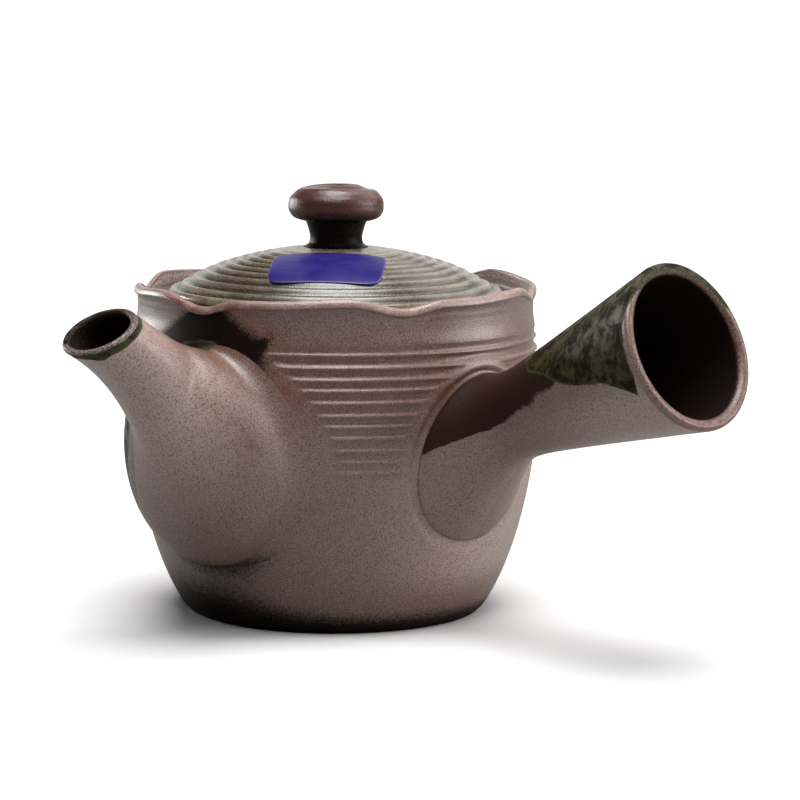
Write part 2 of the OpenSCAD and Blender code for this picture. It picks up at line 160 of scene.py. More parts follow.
class HandleSizes(bpy.types.PropertyGroup):
    """Sizes of the hollow side handle, whose place is measured from the pot."""
    tilt: angle("Tilt", "Angle of the handle's axis above level", 22.4, 18, 26)
    reach: length("Reach", "How far the end's middle lies beyond the belly", 60, 52, 68)
    drop: length("Drop", "Drop from the rim to the end's middle", 4.2, 2, 7)
    end_r: length("End radius", "Outer radius at the end", 19, 17, 21)
    taper: share("Taper", "Narrowing of the radius for each unit of length", 0.19, 0.15, 0.21)
    wall: length("Wall", "Thickness of the wall", 2.6, 2, 3)
    bell_r: length("Bell radius", "Radius of the flared bell at its middle", 16.3, 14, 19)
    bell_in: length("Bell depth", "How far the bell's middle lies inside the belly", 3.3, 1, 6)
    bell_flare: share("Bell flare", "Widening of the bell for each unit of length", 0.66, 0.4, 0.9)
    bell_blend: length("Bell softness", "Softness of the change from bell to tube", 4.5, 2, 8)
    bell_edge: length("Bell edge", "Height of the rounded edge that stands on the wall", 1.3, 0.5, 3)


class LidSizes(bpy.types.PropertyGroup):
    """Sizes of the lid, its knob and its label."""
    lap: length("Lap", "How far the lid laps over the mouth", 2.7, 2, 3.2)
    rise: length("Rise", "Rise of the dome over its edge", 9.4, 8, 12)
    edge_h: length("Edge height", "Height of the lid's edge", 2.5, 2, 3.5)
    edge_round: length("Edge round", "Radius of the lid's rounded edge", 1.6, 0.5, 2.4)
    edge_drop: length("Edge drop", "How far the dome turns down toward its edge", 1.2, 0, 1.6)
    dome_t: length("Dome", "Thickness of the dome", 3, 2.5, 4)
    skirt_drop: length("Skirt drop", "Depth of the skirt below the seat", 3.6, 2, 6)
    skirt_t: length("Skirt", "Thickness of the skirt", 2.4, 1.8, 3)
    skirt_gap: length("Skirt gap", "Gap between the skirt and the mouth", 0.9, 0.4, 1.5)
    seat_gap: length("Seat gap", "Gap between the lid and the ledge", 0.3, 0.2, 0.5)
    ridge_n: count("Ridges", "Ridges on the dome", 10, 4, 11)
    ridge_pitch: length("Ridge pitch", "Distance from ridge to ridge", 2.6, 2.2, 2.7)
    ridge_d: length("Ridge depth", "Depth of the grooves between the ridges", 0.64, 0.1, 0.8)
    vent_r: length("Vent radius", "Radius of the steam vent", 1.5, 1, 2.5)
    vent_at: length("Vent distance", "Distance of the vent from the lid's axis", 20, 15, 26)
    vent_turn: angle("Vent turn", "Direction of the vent round the lid", 135, 90, 180)
    knob_r: length("Knob radius", "Radius of the knob's head", 11.2, 9, 13)
    knob_head_h: length("Knob head", "Height of the knob's head", 8.4, 6.5, 10)
    knob_neck_r: length("Knob neck radius", "Radius of the knob's neck", 6.8, 5, 7.5)
    knob_neck_h: length("Knob neck", "Height of the knob's neck", 6, 4.5, 8)
    knob_foot_r: length("Knob foot radius", "Radius of the knob's foot on the lid", 8, 7.4, 9.5)
    label_w: length("Label width", "Width of the blank label", 26, 18, 30)
    label_h: length("Label height", "Height of the label in plan", 18, 12, 20)
    label_t: length("Label", "Thickness of the label", 0.25, 0.2, 0.5)
    label_corner: share("Label corner", "Squareness of the label's outline", 7, 3, 12)
    label_at: length("Label distance", "Distance of the label's middle from the axis", 21.8, 20, 24)
    label_turn: angle("Label turn", "Direction of the label round the lid", -50, -70, -30)


class Finishes(bpy.types.PropertyGroup):
    """Colours of the clays, the glazes and the label."""
    clay_grey: colour("Grey clay", "Bare stoneware where it fired grey", (0.232, 0.150, 0.126))
    clay_brown: colour("Brown clay", "Bare stoneware where it fired brown", (0.206, 0.111, 0.079))
    clay_rust: colour("Rust clay", "Iron red on crests and shoulders", (0.190, 0.062, 0.034))
    clay_fleck: colour("Pale fleck", "Fine pale grains in the clay", (0.46, 0.38, 0.34))
    clay_pit: colour("Dark fleck", "Fine dark grains and pits in the clay", (0.03, 0.015, 0.011))
    # Pale clay of the lip, and also painted light on the belly's right side, the spout's tube and the handle's
    # underside.
    clay_pale: colour("Pale clay", "Bare stoneware where it fired palest", (0.49, 0.36, 0.315))
    stain: colour("Red stain", "Dark red stain on the handle's bell", (0.021, 0.0055, 0.0028))
    # Kiln flash, and also painted shade on the foot, under the spout's root and inside the pot, spout and handle.
    flash: colour("Kiln flash", "Dark red-brown flash of the kiln", (0.009, 0.0042, 0.003))
    glaze_olive: colour("Olive glaze", "Ash glaze where it lies thick", (0.058, 0.050, 0.014))
    glaze_brown: colour("Brown glaze", "Ash glaze where it lies thin", (0.014, 0.0075, 0.0035))
    glaze_green: colour("Green edge", "Ash glaze where it gathered at its edge", (0.052, 0.068, 0.030))
    lid_olive: colour("Lid olive", "Glaze of the lid on its crests", (0.235, 0.195, 0.125))
    lid_green: colour("Lid green", "Glaze of the lid in its grooves", (0.026, 0.021, 0.01))
    lid_brown: colour("Lid brown", "Thin glaze on the lid", (0.15, 0.098, 0.066))
    knob_brown: colour("Knob brown", "Glaze of the knob", (0.075, 0.021, 0.012))
    # Dark glaze of the knob's mottle, and also painted shade in its neck.
    knob_dark: colour("Knob dark", "Glaze of the knob in its hollows", (0.004, 0.002, 0.0015))
    label_blue: colour("Label blue", "Face of the blank label", (0.012, 0.006, 0.13))
    label_edge: colour("Label edge", "Worn edge of the label", (0.05, 0.035, 0.22))
    strainer: colour("Strainer clay", "Bare clay inside the pot", (0.105, 0.072, 0.060))


class StageSettings(bpy.types.PropertyGroup):
    """Camera, lamps and floor."""
    camera_turn: angle("Camera turn", "Turn of the camera round the pot", 44.3, -180, 180)
    camera_away: length("Camera distance", "Level distance from the pot's axis", 726.66, 400, 1500)
    camera_side: length("Camera side", "How far the camera stands to the right", 15.26, -100, 100)
    camera_z: length("Camera height", "Height of the camera", 150.41, 50, 400)
    camera_pitch: angle("Camera pitch", "Angle by which the camera looks down", 7.954, 0, 30)
    camera_roll: angle("Camera roll", "Roll of the camera", 0.5, -5, 5)
    camera_lens: share("Lens", "Focal length on a sensor 36 wide", 140.21, 20, 300)
    floor_colour: colour("Floor", "Colour of the pale floor", (0.78, 0.78, 0.78))
    floor_bounce: share("Floor bounce", "Share of the floor's light that falls back on the object", 0.36)
    fill: share("Fill", "Strength of the even light from all round", 0.04, 0, 2)
    top_light: share("Top light", "Strength of the large soft light overhead", 3.3, 0, 10)
    front_light: share("Front light", "Strength of the soft light high in front", 1.0, 0, 10)
    right_light: share("Right light", "Strength of the soft light on the right", 1.65, 0, 10)
    low_right_light: share("Low right light", "Strength of the soft light low on the right", 0.9, 0, 10)
    left_light: share("Left light", "Strength of the soft light behind on the left", 1.8, 0, 10)
    back_light: share("Back light", "Strength of the soft light behind on the right", 0.8, 0, 10)


GROUPS = {
    "teapot_pot": PotSizes,
    "teapot_spout": SpoutSizes,
    "teapot_handle": HandleSizes,
    "teapot_lid": LidSizes,
    "teapot_finish": Finishes,
    "teapot_stage": StageSettings,
}


def values(group):
    """A group's values by name, with lengths in millimetres."""
    found = SimpleNamespace()
    for prop in group.bl_rna.properties:
        if prop.identifier not in ("rna_type", "name"):
            value = getattr(group, prop.identifier)
            setattr(found, prop.identifier, value / MM if getattr(prop, "unit", "") == "LENGTH" else value)
    return found


def pot_sizes():
    """The pot's sizes with the heights and radii that follow from them."""
    pot = values(bpy.context.scene.teapot_pot)
    pot.waist_z = pot.belly_z + pot.waist_rise
    pot.waist_r = pot.belly_r - pot.waist_in
    pot.rim_z = pot.waist_z + pot.rim_rise
    pot.ledge_z = pot.rim_z - pot.ledge_drop
    pot.gallery_r = pot.waist_r - pot.lip_t
    pot.first_crest = pot.waist_z - pot.groove_drop
    pot.last_crest = pot.first_crest - (pot.groove_n - 1) * pot.groove_pitch
    return pot


def spout_sizes():
    """The spout's sizes."""
    return values(bpy.context.scene.teapot_spout)


def handle_sizes(pot):
    """The handle's sizes with its end and the place of its bell along its axis."""
    handle = values(bpy.context.scene.teapot_handle)
    handle.axis = np.array([np.cos(handle.tilt), 0.0, np.sin(handle.tilt)])
    handle.up = np.array([-np.sin(handle.tilt), 0.0, np.cos(handle.tilt)])
    handle.end = np.array([pot.belly_r + handle.reach, 0.0, pot.rim_z - handle.drop])
    handle.bell_s = -(handle.reach + handle.bell_in) / np.cos(handle.tilt)
    return handle


def lid_sizes(pot):
    """The lid's sizes with the heights and radii that follow from them."""
    lid = values(bpy.context.scene.teapot_lid)
    lid.seat_z = pot.ledge_z + lid.seat_gap
    lid.r = pot.mouth_r + lid.lap
    lid.top_z = lid.seat_z + lid.edge_h + lid.rise
    lid.dome_r = (lid.r ** 2 + lid.rise ** 2) / (2 * lid.rise)
    lid.dome_z = lid.top_z - lid.dome_r
    lid.skirt_out = pot.mouth_r - lid.skirt_gap
    lid.skirt_in = lid.skirt_out - lid.skirt_t
    lid.knob_z = dome_height(lid, lid.knob_foot_r)
    return lid


# Curves

def ease(t):
    """Smooth step: 3 t squared less 2 t cubed, held at 0 and 1 outside."""
    t = np.clip(t, 0.0, 1.0)
    return t * t * (3 - 2 * t)


def bezier(points, t):
    """Cubic Bezier curve with four control points, at every t."""
    p = np.asarray(points, float)
    t = np.asarray(t, float)[..., None]
    return (1 - t) ** 3 * p[0] + 3 * (1 - t) ** 2 * t * p[1] + 3 * (1 - t) * t * t * p[2] + t ** 3 * p[3]


def bend(p0, p1, p2, steps):
    """Quadratic Bezier from rows of points p0 to p2, pulled toward p1, as rings with both ends."""
    t = np.linspace(0, 1, steps)[:, None, None]
    return (1 - t) ** 2 * p0 + 2 * t * (1 - t) * p1 + t * t * p2


def through(points, steps):
    """A smooth line through points: a Catmull-Rom curve, at even steps of its share."""
    p = np.vstack([2 * points[0] - points[1], points, 2 * points[-1] - points[-2]])
    at = np.linspace(0, len(points) - 1, steps)
    k = np.minimum(at.astype(int), len(points) - 2)
    t = (at - k)[:, None]
    p0, p1, p2, p3 = p[k], p[k + 1], p[k + 2], p[k + 3]
    return p1 + t / 2 * (p2 - p0 + t * (2 * p0 - 5 * p1 + 4 * p2 - p3 + t * (3 * p1 - p0 - 3 * p2 + p3)))


def soft_max(a, b, width):
    """The larger of two numbers, rounded over where they are about width apart."""
    return (a + b + np.sqrt((a - b) ** 2 + width ** 2)) / 2


def largest(*fields):
    """The largest of several fields at each point."""
    return np.max(np.broadcast_arrays(*fields), axis=0)


def wander(x, seed, waves=4):
    """Uneven wave of a thrown line: a sum of sines of whole counts round the circle, within about -1 to 1."""
    k = np.arange(1, waves + 1)
    phase = 2.4 * seed * k + seed
    return (np.sin(np.asarray(x)[..., None] * k + phase) / k).sum(-1) / 1.5


def wrap(a):
    """An angle brought to between minus and plus half a turn."""
    return (a + np.pi) % TURN - np.pi


def polar(r, a, z):
    """Points at radius r, angle a and height z."""
    r, a, z = np.broadcast_arrays(r, a, z)
    return np.stack([r * np.cos(a), r * np.sin(a), z], -1)


def turned(points, a):
    """Points turned by an angle about the upright axis."""
    x, y, z = np.moveaxis(points, -1, 0)
    return np.stack([x * np.cos(a) - y * np.sin(a), x * np.sin(a) + y * np.cos(a), z], -1)


def wall_radius(pot, z):
    """Radius of the smooth wall: a Bezier curve from foot to belly, a parabola up to the waist, upright above."""
    curve = bezier([[pot.base_r, 0],
                    [pot.base_r + (pot.belly_r - pot.base_r) * pot.foot_swell, pot.belly_z * pot.foot_swell_at],
                    [pot.belly_r, pot.belly_z * pot.upright_at],
                    [pot.belly_r, pot.belly_z]], np.linspace(0, 1, 600))
    low = np.interp(z, curve[:, 1], curve[:, 0])
    high = pot.belly_r - pot.waist_in * (np.minimum(z, pot.waist_z) - pot.belly_z) ** 2 / pot.waist_rise ** 2
    return np.where(z < pot.belly_z, low, high)


def outside(pot, points):
    """How far points lie outside the smooth wall, measured level."""
    return np.hypot(points[..., 0], points[..., 1]) - wall_radius(pot, points[..., 2])


def crossing(pot, line, clear, low, high):
    """Where each line of points, a function of its share, leaves the wall by clear: found by halving."""
    low, high = low + 0 * clear, high + 0 * clear
    for _ in range(36):
        middle = (low + high) / 2
        within = outside(pot, line(middle)) < clear
        low, high = np.where(within, middle, low), np.where(within, high, middle)
    return (low + high) / 2


def beside(pot, seam, shift, sink):
    """Points of the wall beside a closed seam: moved square to it along the wall by shift, and sunk in by sink."""
    a = np.unwrap(np.arctan2(seam[:, 1], seam[:, 0]))
    r = np.hypot(seam[:, 0], seam[:, 1])
    z = seam[:, 2]
    da = (np.roll(a, -1) - np.roll(a, 1)) * r
    dz = np.roll(z, -1) - np.roll(z, 1)
    size = np.hypot(da, dz)
    z2 = z - shift * da / size
    return polar(wall_radius(pot, z2) - sink, a + shift * dz / size / r, z2)


def seam_distance(seam, a, z):
    """Distance of wall places from a closed seam, positive outside it, measured from its middle outward."""
    middle = seam.mean(0)
    turn = np.arctan2(middle[1], middle[0])
    r = np.hypot(seam[:, 0], seam[:, 1])
    u = wrap(np.arctan2(seam[:, 1], seam[:, 0]) - turn) * r
    v = seam[:, 2] - middle[2]
    bearing = np.arctan2(v, u)
    order = np.argsort(bearing)
    x = wrap(a - turn) * r.mean()
    y = z - middle[2]
    return np.hypot(x, y) - np.interp(np.arctan2(y, x), bearing[order], np.hypot(u, v)[order], period=TURN)


# Meshes

def skin(name, rings, tips=(None, None), closed=False, fields=None):
    """A closed mesh object over rings[i, j], ring i at step j round it.

    Neighbouring rings are joined by quads. Each end is closed by a fan to its tip, or the last ring is joined
    to the first. Faces are turned outward by the sign of the volume. Fields become point attributes.
    """
    n, m = rings.shape[:2]
    i = np.arange(n if closed else n - 1)[:, None]
    j = np.arange(m)[None, :]
    i2, j2 = (i + 1) % n, (j + 1) % m
    quads = np.stack([i * m + j, i * m + j2, i2 * m + j2, i2 * m + j], -1).reshape(-1, 4)
    points = rings.reshape(-1, 3)
    columns = {key: np.broadcast_to(value, (n, m)).ravel() for key, value in (fields or {}).items()}
    fans = np.zeros((0, 3), int)
    for tip, row in zip(tips, (0, n - 1)):
        if tip is not None:
            edge = row * m + np.stack([j[0], j2[0]], -1)
            edge = edge[:, ::-1] if row == 0 else edge
            fans = np.vstack([fans, np.column_stack([edge, np.full(m, len(points))])])
            points = np.vstack([points, tip])
            columns = {key: np.append(value, value[row * m:row * m + m].mean()) for key, value in columns.items()}
    thirds = ((quads, 1), (quads, 2), (fans, 1))
    volume = sum((points[f[:, 0]] * np.cross(points[f[:, k]], points[f[:, k + 1]])).sum() for f, k in thirds)
    if volume < 0:
        quads, fans = quads[:, ::-1], fans[:, ::-1]
    loops = np.concatenate([quads.ravel(), fans.ravel()])
    sides = np.concatenate([np.full(len(quads), 4), np.full(len(fans), 3)])
    mesh = bpy.data.meshes.new(name)
    mesh.vertices.add(len(points))
    mesh.vertices.foreach_set("co", (points * MM).astype(np.float32).ravel())
    mesh.loops.add(len(loops))
    mesh.loops.foreach_set("vertex_index", loops.astype(np.int32))
    mesh.polygons.add(len(sides))
    mesh.polygons.foreach_set("loop_start", (np.cumsum(sides) - sides).astype(np.int32))
    mesh.polygons.foreach_set("use_smooth", np.ones(len(sides), bool))
    for key, value in columns.items():
        mesh.attributes.new(key, "FLOAT", "POINT").data.foreach_set("value", value.astype(np.float32))
    mesh.update(calc_edges=True)
    if mesh.validate():
        raise RuntimeError(name + " has broken faces")
    piece = bpy.data.objects.new(name, mesh)
    bpy.context.scene.collection.objects.link(piece)
    return piece


def round_bar(name, start, end, r, steps=64):
    """A closed round bar from start to end: two rings of radius r about the line between them."""
    axis = (end - start) / np.linalg.norm(end - start)
    side = np.cross(axis, [0.0, 0.0, 1.0] if abs(axis[2]) < 0.9 else [1.0, 0.0, 0.0])
    side /= np.linalg.norm(side)
    b = np.linspace(0, TURN, steps, endpoint=False)[:, None]
    ring = r * (np.cos(b) * side + np.sin(b) * np.cross(axis, side))
    return skin(name, np.stack([start + ring, end + ring]), tips=(start, end))


def pierce(piece, bar):
    """Cuts a bar out of a piece, and removes the bar."""
    cut = piece.modifiers.new("hole", "BOOLEAN")
    cut.operation = "DIFFERENCE"
    cut.solver = "EXACT"
    cut.object = bar
    whole = piece.data
    bpy.context.view_layer.update()
    pierced = bpy.data.meshes.new_from_object(piece.evaluated_get(bpy.context.evaluated_depsgraph_get()))
    piece.modifiers.clear()
    piece.data = pierced
    pierced.name = whole.name
    bpy.data.meshes.remove(whole)
    solid = bar.data
    bpy.data.objects.remove(bar)
    bpy.data.meshes.remove(solid)


def dress(piece, body, node, material):
    """Puts a piece on its body in place of a node and its material."""
    piece.data.materials.clear()
    piece.data.materials.append(material)
    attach(piece, body)
    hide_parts(node)


# Shapes of the pieces

def rim_shape(pot, spout, a):
    """Height of the rim's crest and its push outward: petals that climb from one notch to a peak near the next."""
    p = ((a - spout.turn) / TURN * pot.lobes) % 1.0
    petal = ease(p / 0.2) * (0.7 + 0.3 * ease((p - 0.35) / 0.37)) * ease((1 - p) / 0.27)
    dip = np.exp(-(wrap(a - spout.turn) / pot.dip_span) ** 2)
    height = pot.rim_z + pot.wave_z * (3.2 * petal - 1.5 + 0.4 * np.cos(a - np.radians(20))) - pot.dip * dip
    return height, pot.wave_r * (2 * petal - 1)


def spout_point(pot, spout, t, a, inset=0.0, ahead=0.0):
    """Point of the spout at share t of its length and angle a round it.

    The middle between an upper and a lower Bezier line, carried by half their distance up and down and by a
    half width sideways that swells toward the root. Inset draws the ring in, ahead moves it out along the mouth.
    """
    axis = np.array([np.cos(spout.tilt), np.sin(spout.tilt)])
    up = np.array([-axis[1], axis[0]])
    mouth = np.array([pot.belly_r + spout.reach, pot.rim_z - spout.drop])
    root = pot.belly_r - spout.root_in
    top = bezier([[root, spout.root_top],
                  [pot.belly_r + spout.top_out, spout.root_top + spout.top_up],
                  [pot.belly_r + spout.throat_out, spout.root_top - spout.throat_dip],
                  mouth + spout.mouth_r * up], t)
    low = bezier([[root, spout.root_low],
                  [pot.belly_r + spout.low_out, spout.root_low - spout.low_dip],
                  [pot.belly_r - spout.chin_in, spout.root_low + spout.chin_up],
                  mouth - spout.mouth_r * up], t)
    half = (top - low) / 2
    height = np.linalg.norm(half, axis=-1)
    grid = np.linspace(-0.3, 1.3, 641)
    swell = ease(1 - grid / spout.neck_at) ** spout.fullness
    kernel = np.exp(-np.linspace(-2.5, 2.5, 61) ** 2)
    swell = np.convolve(np.pad(swell, 30, mode="edge"), kernel / kernel.sum(), mode="valid")
    width = spout.mouth_r + (spout.root_r - spout.mouth_r) * np.interp(t, grid, swell)
    lift = ((height - inset) * np.sin(a) / height)[..., None]
    p = (top + low) / 2 + np.asarray(ahead)[..., None] * axis + lift * half
    return turned(np.stack([p[..., 0], (width - inset) * np.cos(a), p[..., 1]], -1), spout.turn)


def spout_seam(pot, spout, a, clear=0.0):
    """Share of the spout's length at each angle where it leaves the wall by clear."""
    return crossing(pot, lambda t: spout_point(pot, spout, t, a), clear + 0 * a, 0.0, 1.0)


def handle_point(handle, s, b, inset=0.0):
    """Point of the handle at distance s from its end, negative toward the pot, and angle b round its axis.

    The radius is the larger of a slow taper and a steep flare toward the pot, rounded over where they meet.
    """
    tube = handle.end_r + handle.taper * s
    flare = handle.bell_r + handle.bell_flare * (handle.bell_s - s)
    r = soft_max(tube, flare, handle.bell_blend) - inset
    side, rise = (r * np.cos(b))[..., None], (r * np.sin(b))[..., None]
    return handle.end + np.asarray(s)[..., None] * handle.axis + side * np.array([0.0, 1.0, 0.0]) + rise * handle.up


def handle_seam(pot, handle, b, clear=0.0, inset=0.0):
    """Distance along the handle at each angle where it leaves the wall by clear."""
    return crossing(pot, lambda s: handle_point(handle, s, b, inset), clear + 0 * b, handle.bell_s - 18, -25.0)


def seams(pot, spout, handle):
    """The closed lines where the spout and the handle's bell meet the smooth wall."""
    a = np.linspace(0, TURN, 240, endpoint=False)
    return (spout_point(pot, spout, spout_seam(pot, spout, a), a),
            handle_point(handle, handle_seam(pot, handle, a), a))


def dome_height(lid, r):
    """Height of the lid's crests: a ball cap that turns down a little toward its edge."""
    return lid.dome_z + np.sqrt(lid.dome_r ** 2 - r ** 2) - lid.edge_drop * ease((r - lid.r + 12) / 14) * 1.12


def lid_groove(lid, r):
    """Depth of the lid's ridging: narrow rounded grooves, fading toward the knob."""
    phase = (lid.r - 0.8 - r) / lid.ridge_pitch
    depth = lid.ridge_d * ease((lid.ridge_n + 0.4 - phase) / 3.0)
    return depth * ((1 - np.cos(TURN * phase)) / 2) ** 1.1


def pot_wall(pot, a, top, spout_line, handle_line):
    """Rings of the grooved wall from the foot up to height top.

    The radius loses the grooves' cosine wave between crests of uneven pitch, which fades at the spout's root and
    at the handle's bell. Beside the bell the wall is pressed in along the seam and swells a little next to it.
    """
    fringe = 2.5
    z = np.concatenate([np.arange(pot.foot_round + 0.5, pot.last_crest - fringe, 1.2),
                        np.arange(pot.last_crest - fringe, pot.first_crest + fringe, 0.3),
                        np.arange(pot.first_crest + fringe, top, 0.8)])[:, None]
    step = np.arange(-1, pot.groove_n + 1)
    crests = pot.first_crest - pot.groove_pitch * step + 0.16 * np.sin(1.9 * step + 1.6)
    drift = 0.18 * wander(a, 3.1)
    phase = np.interp(z + drift, crests[::-1], step[::-1].astype(float))
    depth = np.interp(phase, [-1, -0.5, 0.2, 2, pot.groove_n - 1, pot.groove_n],
                      [0, 0.5 * pot.groove_top, pot.groove_top, pot.groove_top * 0.75, pot.groove_low, 0])
    to_spout = seam_distance(spout_line, a, z)
    to_handle = seam_distance(handle_line, a, z)
    fade = ease((to_spout - 4.4 - 0.06 * (pot.first_crest - z)) / 3.5) * ease((to_handle - 2.0) / 2.5)
    valley = 1 - ((1 + np.cos(TURN * (phase + 0.05 * np.sin(TURN * phase)))) / 2) ** 1.6
    cut = depth * fade * valley * (1 + 0.2 * wander(a, 1.7))
    press = 0.15 * np.exp(-((to_handle - 1.6) / 0.6) ** 2) - 0.4 * np.exp(-((to_handle - 0.2) / 0.55) ** 2)
    uneven = 0.10 * np.sin(z / 7.0 + 1.0) * wander(a, 0.7, 3)
    uneven = uneven * ease((to_spout - 5) / 8) * ease((to_handle - 4) / 8)
    return polar(wall_radius(pot, z) - cut + press + uneven, a, z)


def pot_lip(pot, spout, a, low):
    """Rings of the lip from height low: up its flared outside, over its sloping crest, and down to the ledge.

    The outside leans out with the square of its share of the height and ends in a low bead. The crest is half an
    ellipse, tall and broad outside and thin inside.
    """
    crest, push = rim_shape(pot, spout, a)
    sink, thin, tall, broad = 0.04, 0.9, 1.7, 1.3
    half = pot.lip_t / 2 - sink
    root = pot.waist_r - sink
    v = np.concatenate([np.linspace(0, 0.8, 9), np.linspace(0.84, 0.9, 3), np.linspace(0.912, 1, 9)])[:, None]
    lean = (pot.lip_flare + push) * v * v
    bead = 0.42 * ease((v - 0.90) / 0.1) - 0.30 * ease((v - 0.25) / 0.55)
    outer = polar(root + lean + bead, a, low + (crest - tall - low) * v)
    b = np.linspace(0, np.pi, 17)[1:-1, None]
    across = np.where(b < np.pi / 2, broad * (1 - np.cos(b)), broad - (2 * thin - broad) * np.cos(b))
    below = np.where(b < np.pi / 2, tall, 2 * thin - broad) * (1 - np.sin(b))
    cap = polar(root + lean[-1] + bead[-1] - across, a, crest - below)
    v = np.linspace(1, 0, 10)[:, None]
    inner_r = root + (pot.lip_flare + push + bead[-1]) * v ** 2 - 2 * (half + (thin - half) * ease(v))
    inner = polar(inner_r, a, pot.ledge_z + 0.5 + (crest - 2 * thin + broad - pot.ledge_z - 0.5) * v)
    return outer, cap, inner


def pot_inside(pot, a):
    """Rings of the inside: the rounded ledge, the slope under it, the wall, and the curve down to the floor."""
    edge = np.linspace(0, np.pi / 2, 4)
    edge_r = 0.5
    slope_z = pot.ledge_z - pot.ledge_t - pot.ledge_slope
    inner_z = np.linspace(slope_z, pot.floor_t + pot.floor_round, 16)
    corner = np.array([wall_radius(pot, pot.floor_t) - pot.wall, pot.floor_t])
    start = corner - [pot.floor_round, 0]
    end = np.array([wall_radius(pot, inner_z[-1]) - pot.wall, inner_z[-1]])
    pull = [end, end + (corner - end) * 2 / 3, start + (corner - start) * 2 / 3, start]
    profile = np.vstack([
        np.column_stack([pot.gallery_r - edge_r * np.sin(edge), pot.ledge_z + edge_r * np.cos(edge)]),
        [[pot.gallery_r - 2.0, pot.ledge_z], [pot.mouth_r + 1.6, pot.ledge_z]],
        np.column_stack([pot.mouth_r + edge_r * (1 - np.sin(edge)), pot.ledge_z - edge_r * (1 - np.cos(edge))]),
        [[pot.mouth_r, pot.ledge_z - pot.ledge_t + 0.5], [pot.mouth_r + 0.3, pot.ledge_z - pot.ledge_t]],
        np.column_stack([wall_radius(pot, inner_z) - pot.wall, inner_z]),
        bezier(pull, np.linspace(0, 1, 10)[1:]),
        [[start[0] * 0.6, pot.floor_t], [start[0] * 0.2, pot.floor_t]],
    ])
    return polar(profile[:, :1], a, profile[:, 1:])


def pot_surface(pot, spout, handle):
    """Rings of the pot from the base up the wall, over the lip and down inside, with its fields."""
    a = np.linspace(-np.pi, np.pi, 400, endpoint=False)
    spout_line, handle_line = seams(pot, spout, handle)
    q = np.linspace(0, np.pi / 2, 5)[:, None]
    base = polar(np.array([0.25, 0.6, 0.97])[:, None] * (pot.base_r - pot.foot_round), a, 0.0)
    foot = polar(pot.base_r - pot.foot_round * (1 - np.sin(q)), a, pot.foot_round * (1 - np.cos(q)))
    lip_low = pot.ledge_z - 1.2
    wall = pot_wall(pot, a, lip_low, spout_line, handle_line)
    outer, cap, inner = pot_lip(pot, spout, a, lip_low)
    rings = np.vstack([base, foot, wall, outer, cap, inner, pot_inside(pot, a)])
    lip_row = len(base) + len(foot) + len(wall)
    return rings, pot_fields(pot, spout, spout_line, rings, lip_row, lip_row + len(outer) + len(cap))


def pot_fields(pot, spout, spout_line, rings, lip_row, inner_row):
    """Where the pot is rust red, flashed dark, pale or glazed, from distances on the wall and heights.

    Rust is strongest on the lip and the upper crests and toward the spout. The kiln flash runs down from the lip and
    widens above the spout. Painted shade darkens the foot, most of all below the spout, the inside and the wall
    under the spout's root, and painted light makes the belly pale on its right side; the lip's paleness is its own.
    Glaze gathered along the upper edge of the spout's root, as a distance in millimetres.
    """
    x, y, z = np.moveaxis(rings, -1, 0)
    a = np.arctan2(y, x)
    out = np.hypot(x, y) > wall_radius(pot, z) - pot.wall / 2
    row = np.arange(len(rings))[:, None]
    lip = ease((row - lip_row - 14) / 6.0) * (row < inner_row + 4)
    turn = wrap(a - spout.turn)
    along = turn * pot.belly_r
    drop = pot.rim_z - 1.1 - z
    to_spout = seam_distance(spout_line, a, z)
    patch = np.minimum((along + 1.0 + 1.8 * drop) / 12.0, (8.0 + 1.05 * drop - along) / 12.0)
    patch = patch + 0.25 * wander(along / 4.0 + drop / 3.0, 2.3)
    # Painted shade: darker toward the foot, reaching higher below the spout, and also inside the pot and on the wall
    # under the spout's root. The dark patch above the spout is the glaze's own.
    painted_shade_z = 9.0 + 15.0 * np.exp(-((turn + 0.25) / 0.6) ** 2)
    flash = largest(1.1 * ease(patch + 0.45) * ease((z - 58) / 7) * out * (row < lip_row + 15),
                    0.9 * ease((painted_shade_z - z) / painted_shade_z) ** 1.2 * out,
                    0.5 * (row > inner_row - 2),
                    0.62 * np.exp(-(to_spout / 5.0) ** 2) * ease((23 - z) / 8) * out)
    # Painted light: the belly is made pale on its right side.
    pale = 0.9 * np.exp(-((a - np.radians(8)) / 0.55) ** 2) * ease((50 - z) / 14) * ease((z - 6) / 10) * out
    shoulder = np.exp(-((z - 60) / 9.0) ** 2) * (0.78 + 0.22 * np.exp(-((turn - 0.55) / 0.5) ** 2))
    rust = np.clip(0.5 * lip + shoulder + 0.9 * ease(patch * 0.5 + 0.75) * ease((z - 54) / 8), 0, 1) * out
    pool = 1.5 + 0.7 * wander(a * 9, 2.2) - np.abs(to_spout - 0.4) - 30 * (z < 63.2)
    pool = pool - 1.2 * np.maximum(0, np.abs(along + 2.5) - 7)
    return {"rust": rust, "flash": flash, "pale": largest(pale, 0.75 * lip),
            "glaze": np.where(out, np.clip(pool, -REACH, REACH), -REACH)}


